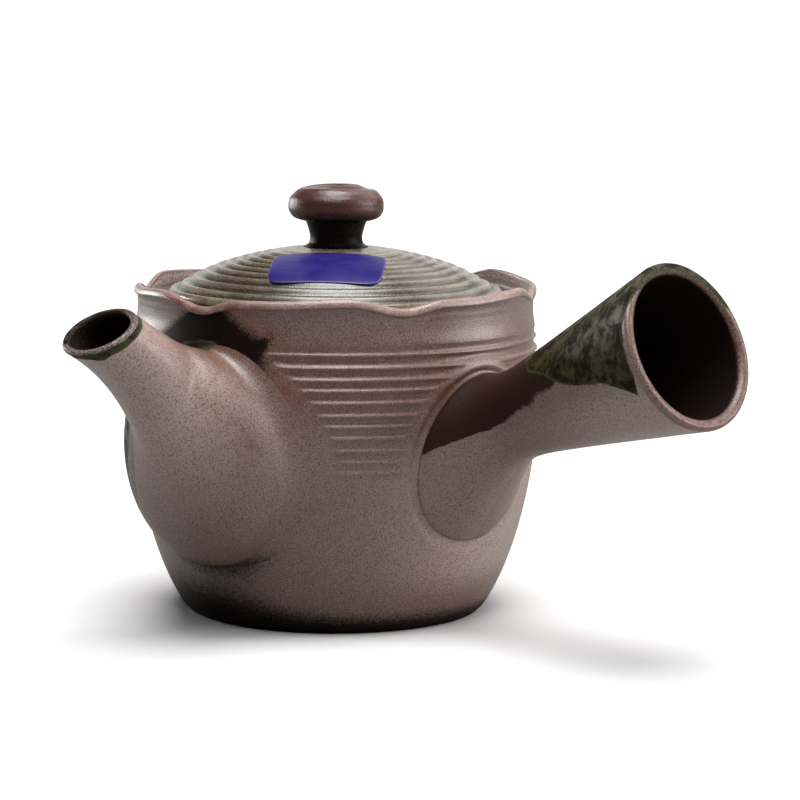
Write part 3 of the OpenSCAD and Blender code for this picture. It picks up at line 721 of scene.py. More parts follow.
def spout_surface(pot, spout):
    """Rings of the spout from under its smoothed root, along the bulb and tube, over the lip and back inside."""
    a = np.linspace(0, TURN, 200, endpoint=False)
    seam_t = spout_seam(pot, spout, a)
    seam = spout_point(pot, spout, seam_t, a)
    width = spout.fillet * (0.25 + 0.75 * ease((np.cos(a - 0.15) - 0.05) / 0.8))
    start = spout_seam(pot, spout, a, 0.55 * width)
    buried = beside(pot, seam, width, 1.0)[None]
    fillet = bend(beside(pot, seam, width, 0.10), seam, spout_point(pot, spout, start, a), 13)
    t = start + (1 - start) * np.linspace(0, 1, 72)[1:, None]
    outer = spout_point(pot, spout, t, a + 0 * t)
    b = np.linspace(0, np.pi, 9)[1:-1, None] + 0 * a
    half = spout.lip_t / 2
    lip = spout_point(pot, spout, np.ones_like(b), a + 0 * b, half * (1 - np.cos(b)), half * np.sin(b))
    thick = lambda u: spout.wall + (spout.lip_t - spout.wall) * ease(u)
    inner_t = crossing(pot, lambda u: spout_point(pot, spout, u, a, thick(u)), -0.8 + 0 * a, 0.0, 1.0)
    u = 1 - (1 - inner_t) * np.linspace(0, 1, 40)[:, None]
    inner = spout_point(pot, spout, u, a + 0 * u, thick(u))
    rings = np.vstack([buried, fillet, outer, lip, inner])
    lip_row = len(buried) + len(fillet) + len(t)
    shares = np.vstack([np.zeros((lip_row - len(t), 1)) + seam_t, t, np.ones_like(b), u])
    return rings, spout_fields(pot, spout, a, rings, shares, lip_row, lip_row + len(b))


def spout_fields(pot, spout, a, rings, shares, lip_row, inner_row):
    """Where the spout is rust red, flashed dark, pale or glazed, from shares of its length and angles round it.

    Glaze covers the far side, drips from the lip and pools at the root, as a distance in millimetres. Painted
    shade darkens the underside of the root and the inside, and painted light makes the tube pale on its lower
    right side.
    """
    row = np.arange(len(rings))[:, None]
    hollow = row >= inner_row - 2
    signed = np.where(a > np.pi, a - TURN, a)
    mouth_gap = np.linalg.norm(rings - spout_point(pot, spout, np.ones_like(a), a), axis=-1)
    mouth_gap = np.where(row < lip_row, mouth_gap, 0.0)
    root_gap = outside(pot, rings)
    drip = 0.5 + 1.7 * ease((np.cos(a + 0.5) + 0.35) / 1.2) + 0.7 * wander(a * 3, 1.3)
    drip = np.where(row < lip_row, drip - mouth_gap, -1.0)
    back = (a - np.radians(77) - 0.10 * wander(shares * 9, 2.9)) * 9.0
    back = np.minimum(back, (np.radians(215) - a) * 9.0) - 4.0 * ease((0.30 - shares) / 0.2)
    pool = 0.8 + 0.3 * wander(a * 5, 4.1) - root_gap
    pool = pool - 0.15 * np.maximum(0, np.abs(np.degrees(wrap(a - np.radians(99)))) - 14)
    glaze = np.clip(largest(drip, np.minimum(back, 1.5), pool), -REACH, REACH)
    rust = np.exp(-np.maximum(0.0, np.radians(90) - signed) * 14 / 13) * (a < 1.8) * ease((shares - 0.05) / 0.2)
    flash = 0.45 * ease((a - np.radians(80)) / 0.3) * (a < 4) + 0.55 * ease((0.6 - mouth_gap) / 0.5)
    # Painted shade under the spout's root, where it meets the wall.
    shade = 0.62 * np.exp(-(root_gap / 2.2) ** 2) * ease((24 - rings[..., 2]) / 8)
    # Painted light: the tube is made pale on its lower right side.
    pale = 0.9 * ease((shares - 0.35) / 0.4) * ease((np.cos(a + 0.6) + 0.5) / 1.0) * ~hollow
    return {"rust": np.where(hollow, 0.5, np.clip(rust, 0, 1)),
            # Inside the spout the flash field holds painted shade.
            "flash": np.where(hollow, 0.75, np.maximum(flash, shade)),
            "glaze": np.where(hollow, -REACH, glaze), "pale": pale}


def handle_surface(pot, handle):
    """Rings of the handle from under the rounded edge of its bell, out along the horn, round the lip and inside."""
    b = np.linspace(0, TURN, 240, endpoint=False)
    start = handle_seam(pot, handle, b, handle.bell_edge)
    seam = handle_point(handle, handle_seam(pot, handle, b, 0.15 * handle.bell_edge), b)
    bead = bend(beside(pot, seam, -1.2, 0.8), seam, handle_point(handle, start, b), 9)
    s = start + (-handle.wall - start) * np.linspace(0, 1, 110)[1:, None]
    outer = handle_point(handle, s, b + 0 * s)
    q = np.linspace(0, np.pi, 11)[1:-1, None] + 0 * b
    half = handle.wall / 2
    lip_s = -handle.wall + half * np.sin(q)
    lip = handle_point(handle, lip_s + 0.12 * wander(b, 2.6) * np.sin(q), b + 0 * q, half * (1 - np.cos(q)))
    inner_s = handle_seam(pot, handle, b, -0.8, handle.wall)
    inner_s = -handle.wall + (inner_s + handle.wall) * np.linspace(0, 1, 60)[:, None]
    inner = handle_point(handle, inner_s, b + 0 * inner_s, handle.wall)
    along = np.vstack([np.zeros((len(bead), 1)) + start, s, lip_s, inner_s])
    lip_row = len(bead) + len(s)
    return np.vstack([bead, outer, lip, inner]), handle_fields(handle, b, along, lip_row, lip_row + len(q))


def handle_fields(handle, b, along, lip_row, inner_row):
    """Where the handle is rust red, stained, flashed dark, pale or glazed, from angles at distances along it.

    Glaze and stain lie on top. Each is a distance in millimetres from its edge, whose angle on the near side is
    listed for distances from the end; the far edge of the glaze mirrors the near one with a wave. The stain's is
    raised by the reach, so that a piece without it, whose field reads 0, has none. The flash field also holds
    painted shade inside the horn and a painted shadow line at the bell's foot, and painted light makes the
    underside pale.
    """
    row = np.arange(len(along))[:, None]
    lip = ease((row - lip_row) / 3.0)
    # Painted shade: the inside of the horn is darkened from the lip inward.
    painted_shade_inside = ease((row + 1 - inner_row) / 2.0)
    deg = np.degrees(np.where(b > 1.5 * np.pi, b - TURN, b)) + 0 * along
    reach = [-47, -42, -38, -32, -29.2, -26.4, -21.6, -18.4, -15.4, -12.8, -10.6, -7.8, -5.2, -3.6, -1.3]
    limit = [60, 120, 150, 164, 172.5, 179.5, 186.5, 188.5, 189.5, 192.5, 197, 202, 208, 197, 186]
    near = np.interp(along, reach, limit)
    far = 180 - np.interp(along - 3, reach, limit) + 7 * wander(along / 6, 1.9)
    per_degree = np.pi / 180 * (handle.end_r + handle.taper * along)
    last = lip_row - 2 + 8 * ease((deg - 5) / 25) * ease((170 - deg) / 50)
    glaze = np.minimum(np.minimum(near - deg, deg - far) * per_degree, 0.5 * (last - row))
    stain_to = np.interp(along, [-70, -64, -61, -54, -42.6, -34, -24], [190, 191, 190, 193.5, 187, 180, 172])
    stain = np.minimum(stain_to - deg, deg + 6 - 5 * wander(along / 5, 3.1)) * per_degree
    stain = np.clip(stain / (0.5 + 3.0 * ease((along + 54) / 14)), -REACH, REACH) + REACH
    # Painted light: the underside is made pale, most of all toward the end.
    under = ease((np.abs(deg - 250) - 75) / -40) * (row < lip_row - 1)
    return {"rust": np.clip(0.12 + 0.8 * lip, 0, 1),
            "stain": np.where(row < lip_row - 1, stain, 0),
            # In the flash field the lip's darker clay is its own; the inside and the bead's first rows at the wall
            # are painted shade.
            "flash": largest(1.3 * painted_shade_inside, 0.40 * lip, 0.8 * (row < 3)),
            "pale": (0.25 + 0.75 * ease((along + 52) / 40)) * under,
            "glaze": np.where(row < inner_row, np.clip(glaze, -REACH, REACH), -REACH)}


def lid_surface(lid):
    """Rings of the lid from its middle over the ridged dome, round the edge, along the skirt and up inside."""
    a = np.linspace(-np.pi, np.pi, 256, endpoint=False)
    r = np.arange(lid.knob_foot_r - 1.0, lid.r - lid.edge_round, 0.22)[:, None]
    waver = 0.16 * wander(a, 4.7) + 0.10 * np.sin(r / 5) * wander(a, 2.1)
    height = dome_height(lid, r) - lid_groove(lid, r + waver) * (1 + 0.25 * wander(a, 0.9))
    height = np.minimum(height, np.where(r < lid.knob_foot_r + 0.2, lid.knob_z - 0.02, height))
    dome = polar(r, a, height)
    e = np.linspace(0, np.pi / 2, 7)[1:]
    edge_z = dome_height(lid, lid.r - lid.edge_round) - lid.edge_round
    inner_r = np.linspace(lid.skirt_in, 0, 24)[:-1]
    profile = np.vstack([
        np.column_stack([lid.r - lid.edge_round * (1 - np.sin(e)), edge_z + lid.edge_round * np.cos(e)]),
        [[lid.r, lid.seat_z + 0.4], [lid.r - 0.4, lid.seat_z], [lid.skirt_out + 0.4, lid.seat_z],
         [lid.skirt_out, lid.seat_z - 0.4], [lid.skirt_out, lid.seat_z - lid.skirt_drop + 0.6],
         [lid.skirt_out - 0.6, lid.seat_z - lid.skirt_drop], [lid.skirt_in + 0.6, lid.seat_z - lid.skirt_drop],
         [lid.skirt_in, lid.seat_z - lid.skirt_drop + 0.6]],
        np.column_stack([inner_r, dome_height(lid, inner_r) - lid.dome_t]),
    ])
    rest = polar(profile[:, :1], a, profile[:, 1:])
    rings = np.vstack([dome, rest])
    groove = np.vstack([lid_groove(lid, r + waver) / lid.ridge_d, np.zeros(rest.shape[:2])])
    row = np.arange(len(rings))[:, None]
    tips = ([0, 0, lid.knob_z - 0.02], [0, 0, dome_height(lid, 0.0) - lid.dome_t])
    # Painted shade: the field thick makes the lid's front, toward the camera, greener and darker.
    thick = np.exp(-((a + np.radians(48)) / 0.7) ** 2) * ease((np.hypot(rings[..., 0], rings[..., 1]) - 24) / 8)
    return rings, tips, {"groove": groove, "bare": 1.0 * (row > len(dome) + 8), "thick": thick}


def knob_surface(lid):
    """Rings of the knob: a waisted neck, a rounded head and a crown pressed in by a thumb in an uneven swirl.

    Each ring is a circle whose radius and height follow a smooth line through shares of the knob's sizes. The
    crown carries a low spiral ridge, and the head swells a little with the angle.
    """
    a = np.linspace(-np.pi, np.pi, 180, endpoint=False)
    low = lid.knob_z + 0.05
    neck = np.array([[1.11, 0], [1.0, 0.07], [0.92, 0.19], [0.90, 0.40], [0.955, 0.68], [1.02, 0.90]])
    head = np.array([[0.655, 0.005], [0.75, 0.03], [0.89, 0.10], [0.97, 0.23], [1.0, 0.42], [0.985, 0.57],
                     [0.93, 0.71], [0.82, 0.84], [0.64, 0.93], [0.45, 0.975], [0.25, 0.96], [0.10, 0.945],
                     [0.02, 0.94]])
    profile = through(np.vstack([neck * [lid.knob_neck_r, lid.knob_neck_h],
                                 head * [lid.knob_r, lid.knob_head_h] + [0, lid.knob_neck_h]]), 110)
    r, z = profile[:, :1], profile[:, 1:] + low
    up = ease((z - low - lid.knob_neck_h) / 3)
    on_top = ease((z - low - lid.knob_neck_h - 0.62 * lid.knob_head_h) / 2.5)
    swirl = np.sin(a - r * 1.15 + 0.8 * wander(a, 1.1))
    band = np.sin(z * 2.3 + 0.7 * wander(a, 3.7))
    r = r * (1 + 0.012 * up * wander(a, 2.9)) + 0.05 * up * (1 - on_top) * band
    z = z + on_top * (0.26 * swirl * ease(r / 3) + 0.22 * wander(a, 0.6, 3) * r / lid.knob_r)
    rings = polar(r, a, z)
    tips = ([0, 0, low], [0, 0, float(z[-1].mean())])
    # The field hollow marks the neck for painted shade; top marks the swirl of the crown for a painted highlight.
    return rings, tips, {"hollow": 1 - up, "top": on_top * (0.5 + 0.5 * swirl)}


def label_surface(lid):
    """Rings of the label: its rounded outline drawn in toward its middle, over the face and back underneath.

    The outline is a superellipse in plan, bent a little round the axis. The film lies on the crests and hardly sags
    into the grooves.
    """
    b = np.linspace(0, TURN, 200, endpoint=False)
    power = lid.label_corner
    w, h = lid.label_w / 2, lid.label_h / 2
    reach = (np.abs(np.cos(b) / w) ** power + np.abs(np.sin(b) / h) ** power) ** (-1 / power)
    outline = np.stack([reach * np.sin(b), reach * np.cos(b)], -1)
    size = np.concatenate([np.linspace(0.03, 1, 42), np.linspace(1, 0.03, 42)])[:, None]
    plan = outline * size[..., None] + [lid.label_at, 0]
    plan = plan - np.stack([0.007 * plan[..., 1] ** 2, 0 * plan[..., 1]], -1)
    r = np.hypot(plan[..., 0], plan[..., 1])
    film = np.concatenate([np.ones(41), [0.75, 0.25], np.zeros(41)])[:, None]
    seat = lambda r: dome_height(lid, r) + 0.04 - 0.02 * lid_groove(lid, r)
    z = seat(r) + film * lid.label_t
    rings = turned(np.concatenate([plan, z[..., None]], -1), lid.label_turn)
    middle = lid.label_at * np.array([np.cos(lid.label_turn), np.sin(lid.label_turn)])
    tips = ([*middle, seat(lid.label_at) + lid.label_t], [*middle, seat(lid.label_at)])
    return rings, tips, {"from_edge": (1 - size) * reach}


# Materials

class Nodes:
    """Steps of a node tree. Each takes numbers, colours or sockets and gives a socket."""

    def __init__(self, tree):
        self.tree = tree
        tree.nodes.clear()

    def new(self, kind, **settings):
        """A node of a kind, with its settings."""
        node = self.tree.nodes.new("ShaderNode" + kind)
        for key, value in settings.items():
            setattr(node, key, value)
        return node

    def put(self, socket, value):
        """Sets a socket to a number or colour, or links another socket to it."""
        if isinstance(value, bpy.types.NodeSocket):
            self.tree.links.new(value, socket)
        elif hasattr(value, "__len__"):
            socket.default_value = (*value, 1.0) if len(value) < len(socket.default_value) else tuple(value)
        else:
            socket.default_value = value

    def math(self, operation, a, b, clamp=False):
        """One step of two numbers."""
        node = self.new("Math", operation=operation, use_clamp=clamp)
        self.put(node.inputs[0], a)
        self.put(node.inputs[1], b)
        return node.outputs[0]

    def add(self, a, b):
        """The sum of two numbers."""
        return self.math("ADD", a, b)

    def times(self, a, b):
        """The product of two numbers."""
        return self.math("MULTIPLY", a, b)

    def larger(self, a, b):
        """The larger of two numbers."""
        return self.math("MAXIMUM", a, b)

    def fray(self, value, cloud, by):
        """A value made uneven: plus the swing of a cloud about one half, times by."""
        return self.add(value, self.times(self.math("SUBTRACT", cloud, 0.5), by))

    def scale(self, value, low, high, to_low=0.0, to_high=1.0):
        """A value carried smoothly from one range to another, and held at its ends."""
        node = self.new("MapRange", interpolation_type="SMOOTHSTEP")
        ends = (("From Min", low), ("From Max", high), ("To Min", to_low), ("To Max", to_high))
        for key, number in (("Value", value), *ends):
            self.put(node.inputs[key], number)
        return node.outputs[0]

    def between(self, factor, a, b):
        """Number a turning smoothly to number b by factor."""
        return self.scale(factor, 0.0, 1.0, a, b)

    def blend(self, factor, a, b):
        """Colour a turning to colour b by factor."""
        node = self.new("Mix", data_type="RGBA")
        for key, value in ((0, factor), (6, a), (7, b)):
            self.put(node.inputs[key], value)
        return node.outputs[2]

    def either(self, factor, a, b):
        """Shader a turning to shader b by factor."""
        node = self.new("MixShader")
        for key, value in enumerate((factor, a, b)):
            self.put(node.inputs[key], value)
        return node.outputs[0]


class Surface(Nodes):
    """The nodes of a material, with its shader, its object coordinates and the textures on them."""

    def __init__(self, name):
        self.material = bpy.data.materials.new(name)
        self.material.use_nodes = True
        super().__init__(self.material.node_tree)
        self.shader = self.new("BsdfPrincipled")
        self.end = self.new("OutputMaterial").inputs["Surface"]
        self.where = self.new("TexCoord").outputs["Object"]
        self.put(self.end, self.shader.outputs[0])

    def noise(self, size, detail=2.0, rough=0.5, twist=0.0, where=None):
        """Cloudy noise whose lumps are about size millimetres across."""
        node = self.new("TexNoise")
        self.put(node.inputs["Vector"], self.where if where is None else where)
        lumps = (("Scale", 1 / (size * MM)), ("Detail", detail), ("Roughness", rough), ("Distortion", twist))
        for key, number in lumps:
            node.inputs[key].default_value = number
        return node.outputs["Fac"]

    def spots(self, apart, reach):
        """Round spots about apart millimetres from each other, 1 in the middle and 0 past reach millimetres."""
        node = self.new("TexVoronoi")
        self.put(node.inputs["Vector"], self.where)
        node.inputs["Scale"].default_value = 1 / (apart * MM)
        return self.scale(node.outputs["Distance"], reach / apart, 0.4 * reach / apart), node.outputs["Color"]

    def field(self, name):
        """A number that the piece's mesh carries at its points."""
        return self.new("Attribute", attribute_name=name).outputs["Fac"]

    def grain(self):
        """Fine grain of fired clay."""
        return self.noise(0.42, 3.0, 0.7)

    def grit(self, grain, tone, colours, rate=1.0):
        """Fired grit over a tone: fine dark and pale grains and rare pits; also its height."""
        fine = self.noise(0.27, 1.0)
        pit, pick = self.spots(7.0, 0.33)
        pit = self.times(pit, self.scale(pick, 0.60, 0.66))
        tone = self.blend(self.scale(grain, 0.47, 0.66, 0.0, 0.78 * rate), tone, colours.clay_pit)
        tone = self.blend(self.scale(fine, 0.50, 0.72, 0.0, 0.42 * rate), tone, colours.clay_fleck)
        tone = self.blend(self.times(pit, 0.85 * rate), tone, colours.clay_pit)
        return tone, self.math("SUBTRACT", self.add(grain, fine), pit)

    def look(self, tone, rough, shine, varied=None):
        """Sets the colour, roughness and specular level, which is linked where it is varied over the surface."""
        for key, value in (("Base Color", tone), ("Roughness", rough), ("Specular IOR Level", shine)):
            self.put(self.shader.inputs[key], value)
        if varied is not None:
            self.put(self.shader.inputs["Specular IOR Level"], varied)

    def relief(self, height, strength, depth):
        """Fine relief of the surface, depth in millimetres."""
        node = self.new("Bump")
        for key, value in (("Strength", strength), ("Distance", depth * MM), ("Height", height)):
            self.put(node.inputs[key], value)
        self.put(self.shader.inputs["Normal"], node.outputs[0])


def stoneware(name, colours):
    """Bare iron stoneware with kiln flash, painted shade, painted light, stain and ash glaze where the mesh's fields
    ask for them.
    """
    s = Surface(name)
    mottle = s.noise(3.2, 4.0, 0.6)
    clouds = s.add(s.times(s.noise(26, 3.0, 0.55), 0.65), s.times(mottle, 0.35))
    tone = s.blend(s.scale(clouds, 0.38, 0.62), colours.clay_grey, colours.clay_brown)
    # Painted light comes in through the pale field, except on the pot's lip, whose paleness is its own.
    tone = s.blend(s.field("pale"), tone, colours.clay_pale)
    reddish = s.math("MULTIPLY", s.field("rust"), s.scale(mottle, 0.25, 0.65, 0.45, 1.0), True)
    tone = s.blend(reddish, tone, colours.clay_rust)
    grain = s.grain()
    tone, height = s.grit(grain, tone, colours)

    # The flash field holds kiln flash and painted shade alike; this mask darkens both.
    kiln_and_painted_shade_mask = s.scale(s.fray(s.field("flash"), grain, 0.88), 0.12, 0.82)
    stained = s.scale(s.fray(s.fray(s.field("stain"), mottle, 1.4), grain, 0.22), REACH - 0.2, REACH + 0.3)
    tone = s.blend(s.times(stained, 0.97), tone, colours.stain)
    tone = s.blend(kiln_and_painted_shade_mask, tone, colours.flash)

    depth = s.fray(s.field("glaze"), mottle, 1.4)
    glazed = s.scale(depth, -0.05, 0.30)
    streak = s.noise(3.2, 5.0, 0.72, 0.3)
    glaze = s.blend(s.scale(streak, 0.40, 0.64), colours.glaze_brown, colours.glaze_olive)
    gathered = s.times(s.scale(depth, 1.1, 0.15), s.scale(mottle, 0.3, 0.6, 0.5, 1.0))
    tone = s.blend(glazed, tone, s.blend(gathered, glaze, colours.glaze_green))

    rough = s.between(s.times(stained, 0.8), s.scale(mottle, 0.3, 0.7, 0.40, 0.31), 0.50)
    rough = s.between(kiln_and_painted_shade_mask, rough, 0.48)
    rough = s.between(glazed, rough, s.scale(streak, 0.40, 0.64, 0.66, 0.5))
    dull = s.larger(s.times(stained, 0.75), s.times(kiln_and_painted_shade_mask, 0.85))
    shine = s.between(glazed, s.between(dull, 0.95, 0.05), s.scale(streak, 0.40, 0.64, 0.08, 0.28))
    s.look(tone, rough, 0.7, shine)
    flat = s.times(height, s.between(s.larger(glazed, kiln_and_painted_shade_mask), 1.0, 0.15))
    run = s.times(glazed, s.add(0.3, s.times(streak, 2.0)))
    s.relief(s.add(flat, run), 0.55, 0.09)
    return s.material


def lid_glaze(name, colours):
    """Olive ash glaze of the lid: thin and brown on the crests, greener in the grooves, and greener and darker on its
    front as painted shade.
    """
    s = Surface(name)
    mottle = s.noise(1.6, 3.0, 0.6)
    tone = s.blend(s.scale(s.noise(7.0, 4.0, 0.6, 0.4), 0.40, 0.60), colours.lid_olive, colours.lid_brown)
    sunk = s.fray(s.field("groove"), mottle, 0.5)
    tone = s.blend(s.scale(sunk, 0.10, 0.70), tone, colours.lid_green)
    # Painted shade: the field thick darkens the lid's front toward the camera.
    tone = s.blend(s.times(s.field("thick"), 0.55), tone, colours.lid_green)
    tone, height = s.grit(s.grain(), tone, colours, 0.6)
    bare = s.field("bare")
    tone = s.blend(bare, tone, colours.clay_brown)
    s.look(tone, s.between(bare, s.scale(mottle, 0.3, 0.7, 0.20, 0.30), 0.55), 0.9)
    s.relief(height, 0.4, 0.06)
    return s.material


def knob_glaze(name, colours):
    """Dark brown glaze of the knob, mottled and brushed, with painted shade darkening the neck and a painted
    highlight lightening the swirl of the crown.
    """
    s = Surface(name)
    hollow, top = s.field("hollow"), s.field("top")
    mottle = s.noise(2.4, 4.0, 0.6)
    stretch = s.new("Mapping")
    s.put(stretch.inputs["Scale"], (1.0, 1.0, 5.0))
    s.put(stretch.inputs["Vector"], s.where)
    brushed = s.noise(4.0, 4.0, 0.65, where=stretch.outputs["Vector"])
    # Painted shade darkens the neck and a painted highlight lightens the crown's swirl, over the glaze's own mottle.
    mottle_and_painted_light = s.math("SUBTRACT", s.times(hollow, 1.6), s.times(top, 0.3))
    mottle_and_painted_light = s.add(mottle_and_painted_light, s.times(s.math("SUBTRACT", s.add(mottle, brushed), 1.0), 1.6))
    tone = s.blend(s.scale(mottle_and_painted_light, 0.0, 0.9), colours.knob_brown, colours.knob_dark)
    tone, height = s.grit(s.grain(), tone, colours, 0.12)
    shine = s.add(s.scale(hollow, 0.2, 0.9, 0.45, 0.05), s.times(top, 0.55))
    s.look(tone, s.scale(mottle, 0.3, 0.7, 0.24, 0.4), 0.6, shine)
    s.relief(s.add(height, s.times(brushed, 3.0)), 0.5, 0.10)
    return s.material


def label_film(name, colours):
    """Blank glossy film, a little paler where its edge is worn."""
    s = Surface(name)
    cloud = s.noise(9, 2.0)
    edge = s.fray(s.field("from_edge"), s.noise(1.2, 2.0), 0.5)
    tone = s.blend(s.scale(cloud, 0.3, 0.7, 0.0, 0.18), colours.label_blue, colours.label_edge)
    tone = s.blend(s.scale(edge, 0.45, 0.0, 0.0, 0.7), tone, colours.label_edge)
    s.look(tone, s.scale(cloud, 0.3, 0.7, 0.30, 0.38), 0.5)
    s.relief(s.noise(6.0, 1.0), 0.15, 0.05)
    return s.material


def bare_clay(name, colours):
    """Plain unglazed clay of the strainer inside, with its grit."""
    s = Surface(name)
    mottle = s.noise(4.0, 4.0, 0.6)
    tone = s.blend(s.scale(mottle, 0.35, 0.65), colours.strainer, colours.clay_brown)
    tone, height = s.grit(s.grain(), tone, colours)
    s.look(tone, s.scale(mottle, 0.3, 0.7, 0.55, 0.68), 0.4)
    s.relief(height, 0.5, 0.10)
    return s.material


# Operators

class TEAPOT_OT_pot(bpy.types.Operator):
    """Makes the thrown pot with its grooves, ledge and foliate rim, pierced behind the spout"""
    bl_idname = "teapot.pot"
    bl_label = "Pot"

    def execute(self, context):
        pot, spout = pot_sizes(), spout_sizes()
        rings, fields = pot_surface(pot, spout, handle_sizes(pot))
        piece = skin("pot_wall", rings, tips=([0, 0, 0], [0, 0, pot.floor_t]), fields=fields)
        way = np.array([np.cos(spout.turn), np.sin(spout.turn), 0.0])
        port = np.array([0.0, 0.0, pot.port_z])
        pierce(piece, round_bar("port_bar", port + way * pot.belly_r / 2, port + way * (pot.belly_r + 4), pot.port_r))
        dress(piece, "pot", "pot_body", stoneware("pot_stoneware", context.scene.teapot_finish))
        return {"FINISHED"}


class TEAPOT_OT_spout(bpy.types.Operator):
    """Makes the bulbous spout with its smoothed root and glazed lip"""
    bl_idname = "teapot.spout"
    bl_label = "Spout"

    def execute(self, context):
        rings, fields = spout_surface(pot_sizes(), spout_sizes())
        piece = skin("spout_form", rings, closed=True, fields=fields)
        dress(piece, "pot", "spout", stoneware("spout_stoneware", context.scene.teapot_finish))
        return {"FINISHED"}


class TEAPOT_OT_handle(bpy.types.Operator):
    """Makes the hollow horn of the handle with its bell and glaze"""
    bl_idname = "teapot.handle"
    bl_label = "Handle"

    def execute(self, context):
        pot = pot_sizes()
        rings, fields = handle_surface(pot, handle_sizes(pot))
        piece = skin("handle_horn", rings, closed=True, fields=fields)
        dress(piece, "pot", "handle", stoneware("handle_stoneware", context.scene.teapot_finish))
        return {"FINISHED"}


class TEAPOT_OT_strainer(bpy.types.Operator):
    """Gives the pierced strainer its clay"""
    bl_idname = "teapot.strainer"
    bl_label = "Strainer"

    def execute(self, context):
        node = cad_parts["strainer"]
        node.data.materials.clear()
        node.data.materials.append(bare_clay("strainer_stoneware", context.scene.teapot_finish))
        return {"FINISHED"}


class TEAPOT_OT_lid(bpy.types.Operator):
    """Makes the ridged lid with its skirt and steam vent"""
    bl_idname = "teapot.lid"
    bl_label = "Lid"

    def execute(self, context):
        lid = lid_sizes(pot_sizes())
        rings, tips, fields = lid_surface(lid)
        piece = skin("lid_dome", rings, tips=tips, fields=fields)
        at = np.array([lid.vent_at * np.cos(lid.vent_turn), lid.vent_at * np.sin(lid.vent_turn), 0.0])
        up = np.array([0.0, 0.0, 1.0])
        pierce(piece, round_bar("vent_bar", at + up * lid.seat_z, at + up * (lid.top_z + 2), lid.vent_r, 40))
        dress(piece, "lid", "lid", lid_glaze("lid_ash_glaze", context.scene.teapot_finish))
        return {"FINISHED"}


class TEAPOT_OT_knob(bpy.types.Operator):
    """Makes the waisted knob with its swirled crown"""
    bl_idname = "teapot.knob"
    bl_label = "Knob"

    def execute(self, context):
        rings, tips, fields = knob_surface(lid_sizes(pot_sizes()))
        piece = skin("knob", rings, tips=tips, fields=fields)
        dress(piece, "lid", "lid_knob", knob_glaze("knob_brown_glaze", context.scene.teapot_finish))
        return {"FINISHED"}


class TEAPOT_OT_label(bpy.types.Operator):
    """Makes the blank label on the lid"""
    bl_idname = "teapot.label"
    bl_label = "Label"

    def execute(self, context):
        rings, tips, fields = label_surface(lid_sizes(pot_sizes()))
        piece = skin("label", rings, tips=tips, fields=fields)
        dress(piece, "lid", "lid_label", label_film("label_gloss", context.scene.teapot_finish))
        return {"FINISHED"}


def soft_light(name, side, rise, strength, spread, turn):
    """A broad far light, side degrees to the right of the camera and rise degrees up, spread degrees across."""
    light = bpy.data.lights.new(name, "SUN")
    light.energy = strength
    light.angle = np.radians(spread)
    item = bpy.data.objects.new(name, light)
    a, b = np.radians(side), np.radians(rise)
    way = turn.to_3x3() @ Vector((np.sin(a) * np.cos(b), -np.cos(a) * np.cos(b), np.sin(b)))
    item.matrix_world = Matrix.Translation(way) @ way.to_track_quat("Z", "Y").to_matrix().to_4x4()
    bpy.context.scene.collection.objects.link(item)


def pale_floor(stage):
    """The floor as it is seen, and a darker one for the light that it throws back on the object."""
    s = Surface("pale_floor")
    s.look(stage.floor_colour, 0.9, 0.0)
    dim = s.new("BsdfDiffuse")
    s.put(dim.inputs["Color"], [stage.floor_bounce * part for part in stage.floor_colour])
    path = s.new("LightPath").outputs
    seen = s.larger(path["Is Camera Ray"], path["Is Transmission Ray"])
    s.put(s.end, s.either(seen, dim.outputs[0], s.shader.outputs[0]))
    return s.material


def surroundings(stage, back):
    """White to the camera and in glass, white to mirrors behind the object, and an even fill otherwise."""
    world = bpy.data.worlds.new("surroundings")
    world.use_nodes = True
    s = Nodes(world.node_tree)
    lit, white = s.new("Background"), s.new("Background")
    lit.inputs["Color"].default_value = white.inputs["Color"].default_value = (1, 1, 1, 1)
    lit.inputs["Strength"].default_value = stage.fill
    facing = s.new("VectorMath", operation="DOT_PRODUCT")
    s.put(facing.inputs[0], s.new("TexCoord").outputs["Generated"])
    s.put(facing.inputs[1], back)
    path = s.new("LightPath").outputs
    mirror = s.times(path["Is Glossy Ray"], s.scale(facing.outputs["Value"], 0.82, 0.94))
    seen = s.larger(path["Is Camera Ray"], path["Is Transmission Ray"])
    s.put(s.new("OutputWorld").inputs[0], s.either(s.larger(mirror, seen), lit.outputs[0], white.outputs[0]))
    return world


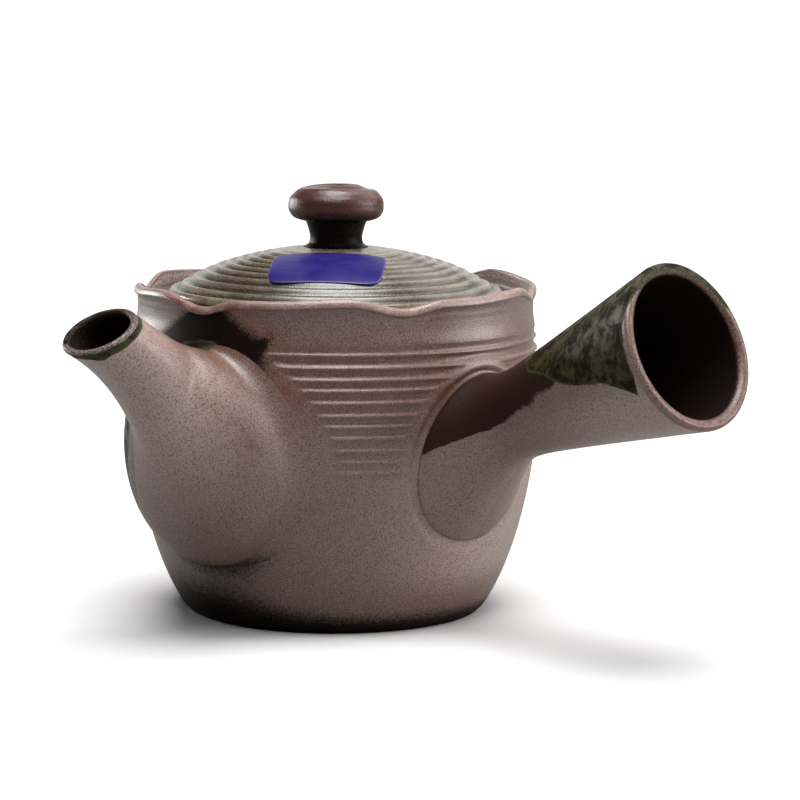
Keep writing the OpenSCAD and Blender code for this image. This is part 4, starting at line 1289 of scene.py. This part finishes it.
class TEAPOT_OT_stage(bpy.types.Operator):
    """Sets the floor, the lights, the surroundings and the camera"""
    bl_idname = "teapot.stage"
    bl_label = "Stage"

    def execute(self, context):
        stage = context.scene.teapot_stage
        turn = Matrix.Rotation(stage.camera_turn, 4, "Z")
        floor = bpy.data.objects.new("floor", bpy.data.meshes.new("floor"))
        floor.data.from_pydata(FLOOR_CORNERS, [], [(0, 1, 2, 3)])
        floor.data.materials.append(pale_floor(stage))
        context.scene.collection.objects.link(floor)
        context.scene.world = surroundings(stage, turn.to_3x3() @ Vector((0, 1, 0)))
        for name, side, rise, spread in LIGHTS:
            soft_light(name, side, rise, getattr(stage, name), spread, turn)

        camera = bpy.data.cameras.new("camera")
        camera.sensor_width = 36.0
        camera.lens = stage.camera_lens
        camera.clip_start = 0.01
        view = bpy.data.objects.new("camera", camera)
        place = Matrix.Translation((stage.camera_side, -stage.camera_away, stage.camera_z))
        pitch = Matrix.Rotation(np.pi / 2 - stage.camera_pitch, 4, "X")
        view.matrix_world = turn @ place @ pitch @ Matrix.Rotation(stage.camera_roll, 4, "Z")
        context.scene.collection.objects.link(view)
        context.scene.camera = view
        context.scene.view_settings.view_transform = "Standard"
        return {"FINISHED"}


PIECES = (TEAPOT_OT_pot, TEAPOT_OT_spout, TEAPOT_OT_handle, TEAPOT_OT_strainer, TEAPOT_OT_lid, TEAPOT_OT_knob,
          TEAPOT_OT_label, TEAPOT_OT_stage)


class TEAPOT_PT_panel(bpy.types.Panel):
    """Lists the pieces and the stage"""
    bl_label = "Teapot"
    bl_space_type = "VIEW_3D"
    bl_region_type = "UI"
    bl_category = "Teapot"

    def draw(self, context):
        for piece in PIECES:
            self.layout.operator(piece.bl_idname)
        for name, group in GROUPS.items():
            box = self.layout.box()
            box.label(text=group.__name__)
            for key in group.__annotations__:
                box.prop(getattr(context.scene, name), key)


CLASSES = (*GROUPS.values(), *PIECES, TEAPOT_PT_panel)


def register():
    """Registers the classes and gives each scene its groups."""
    for item in CLASSES:
        bpy.utils.register_class(item)
    for name, group in GROUPS.items():
        setattr(bpy.types.Scene, name, PointerProperty(type=group))


def unregister():
    """Takes the groups and the classes away again."""
    for name in GROUPS:
        delattr(bpy.types.Scene, name)
    for item in reversed(CLASSES):
        bpy.utils.unregister_class(item)


def main():
    """Builds every piece and the stage."""
    register()
    for piece in PIECES:
        group, name = piece.bl_idname.split(".")
        getattr(getattr(bpy.ops, group), name)()
    bpy.context.view_layer.update()


if __name__ == "__main__":
    main()
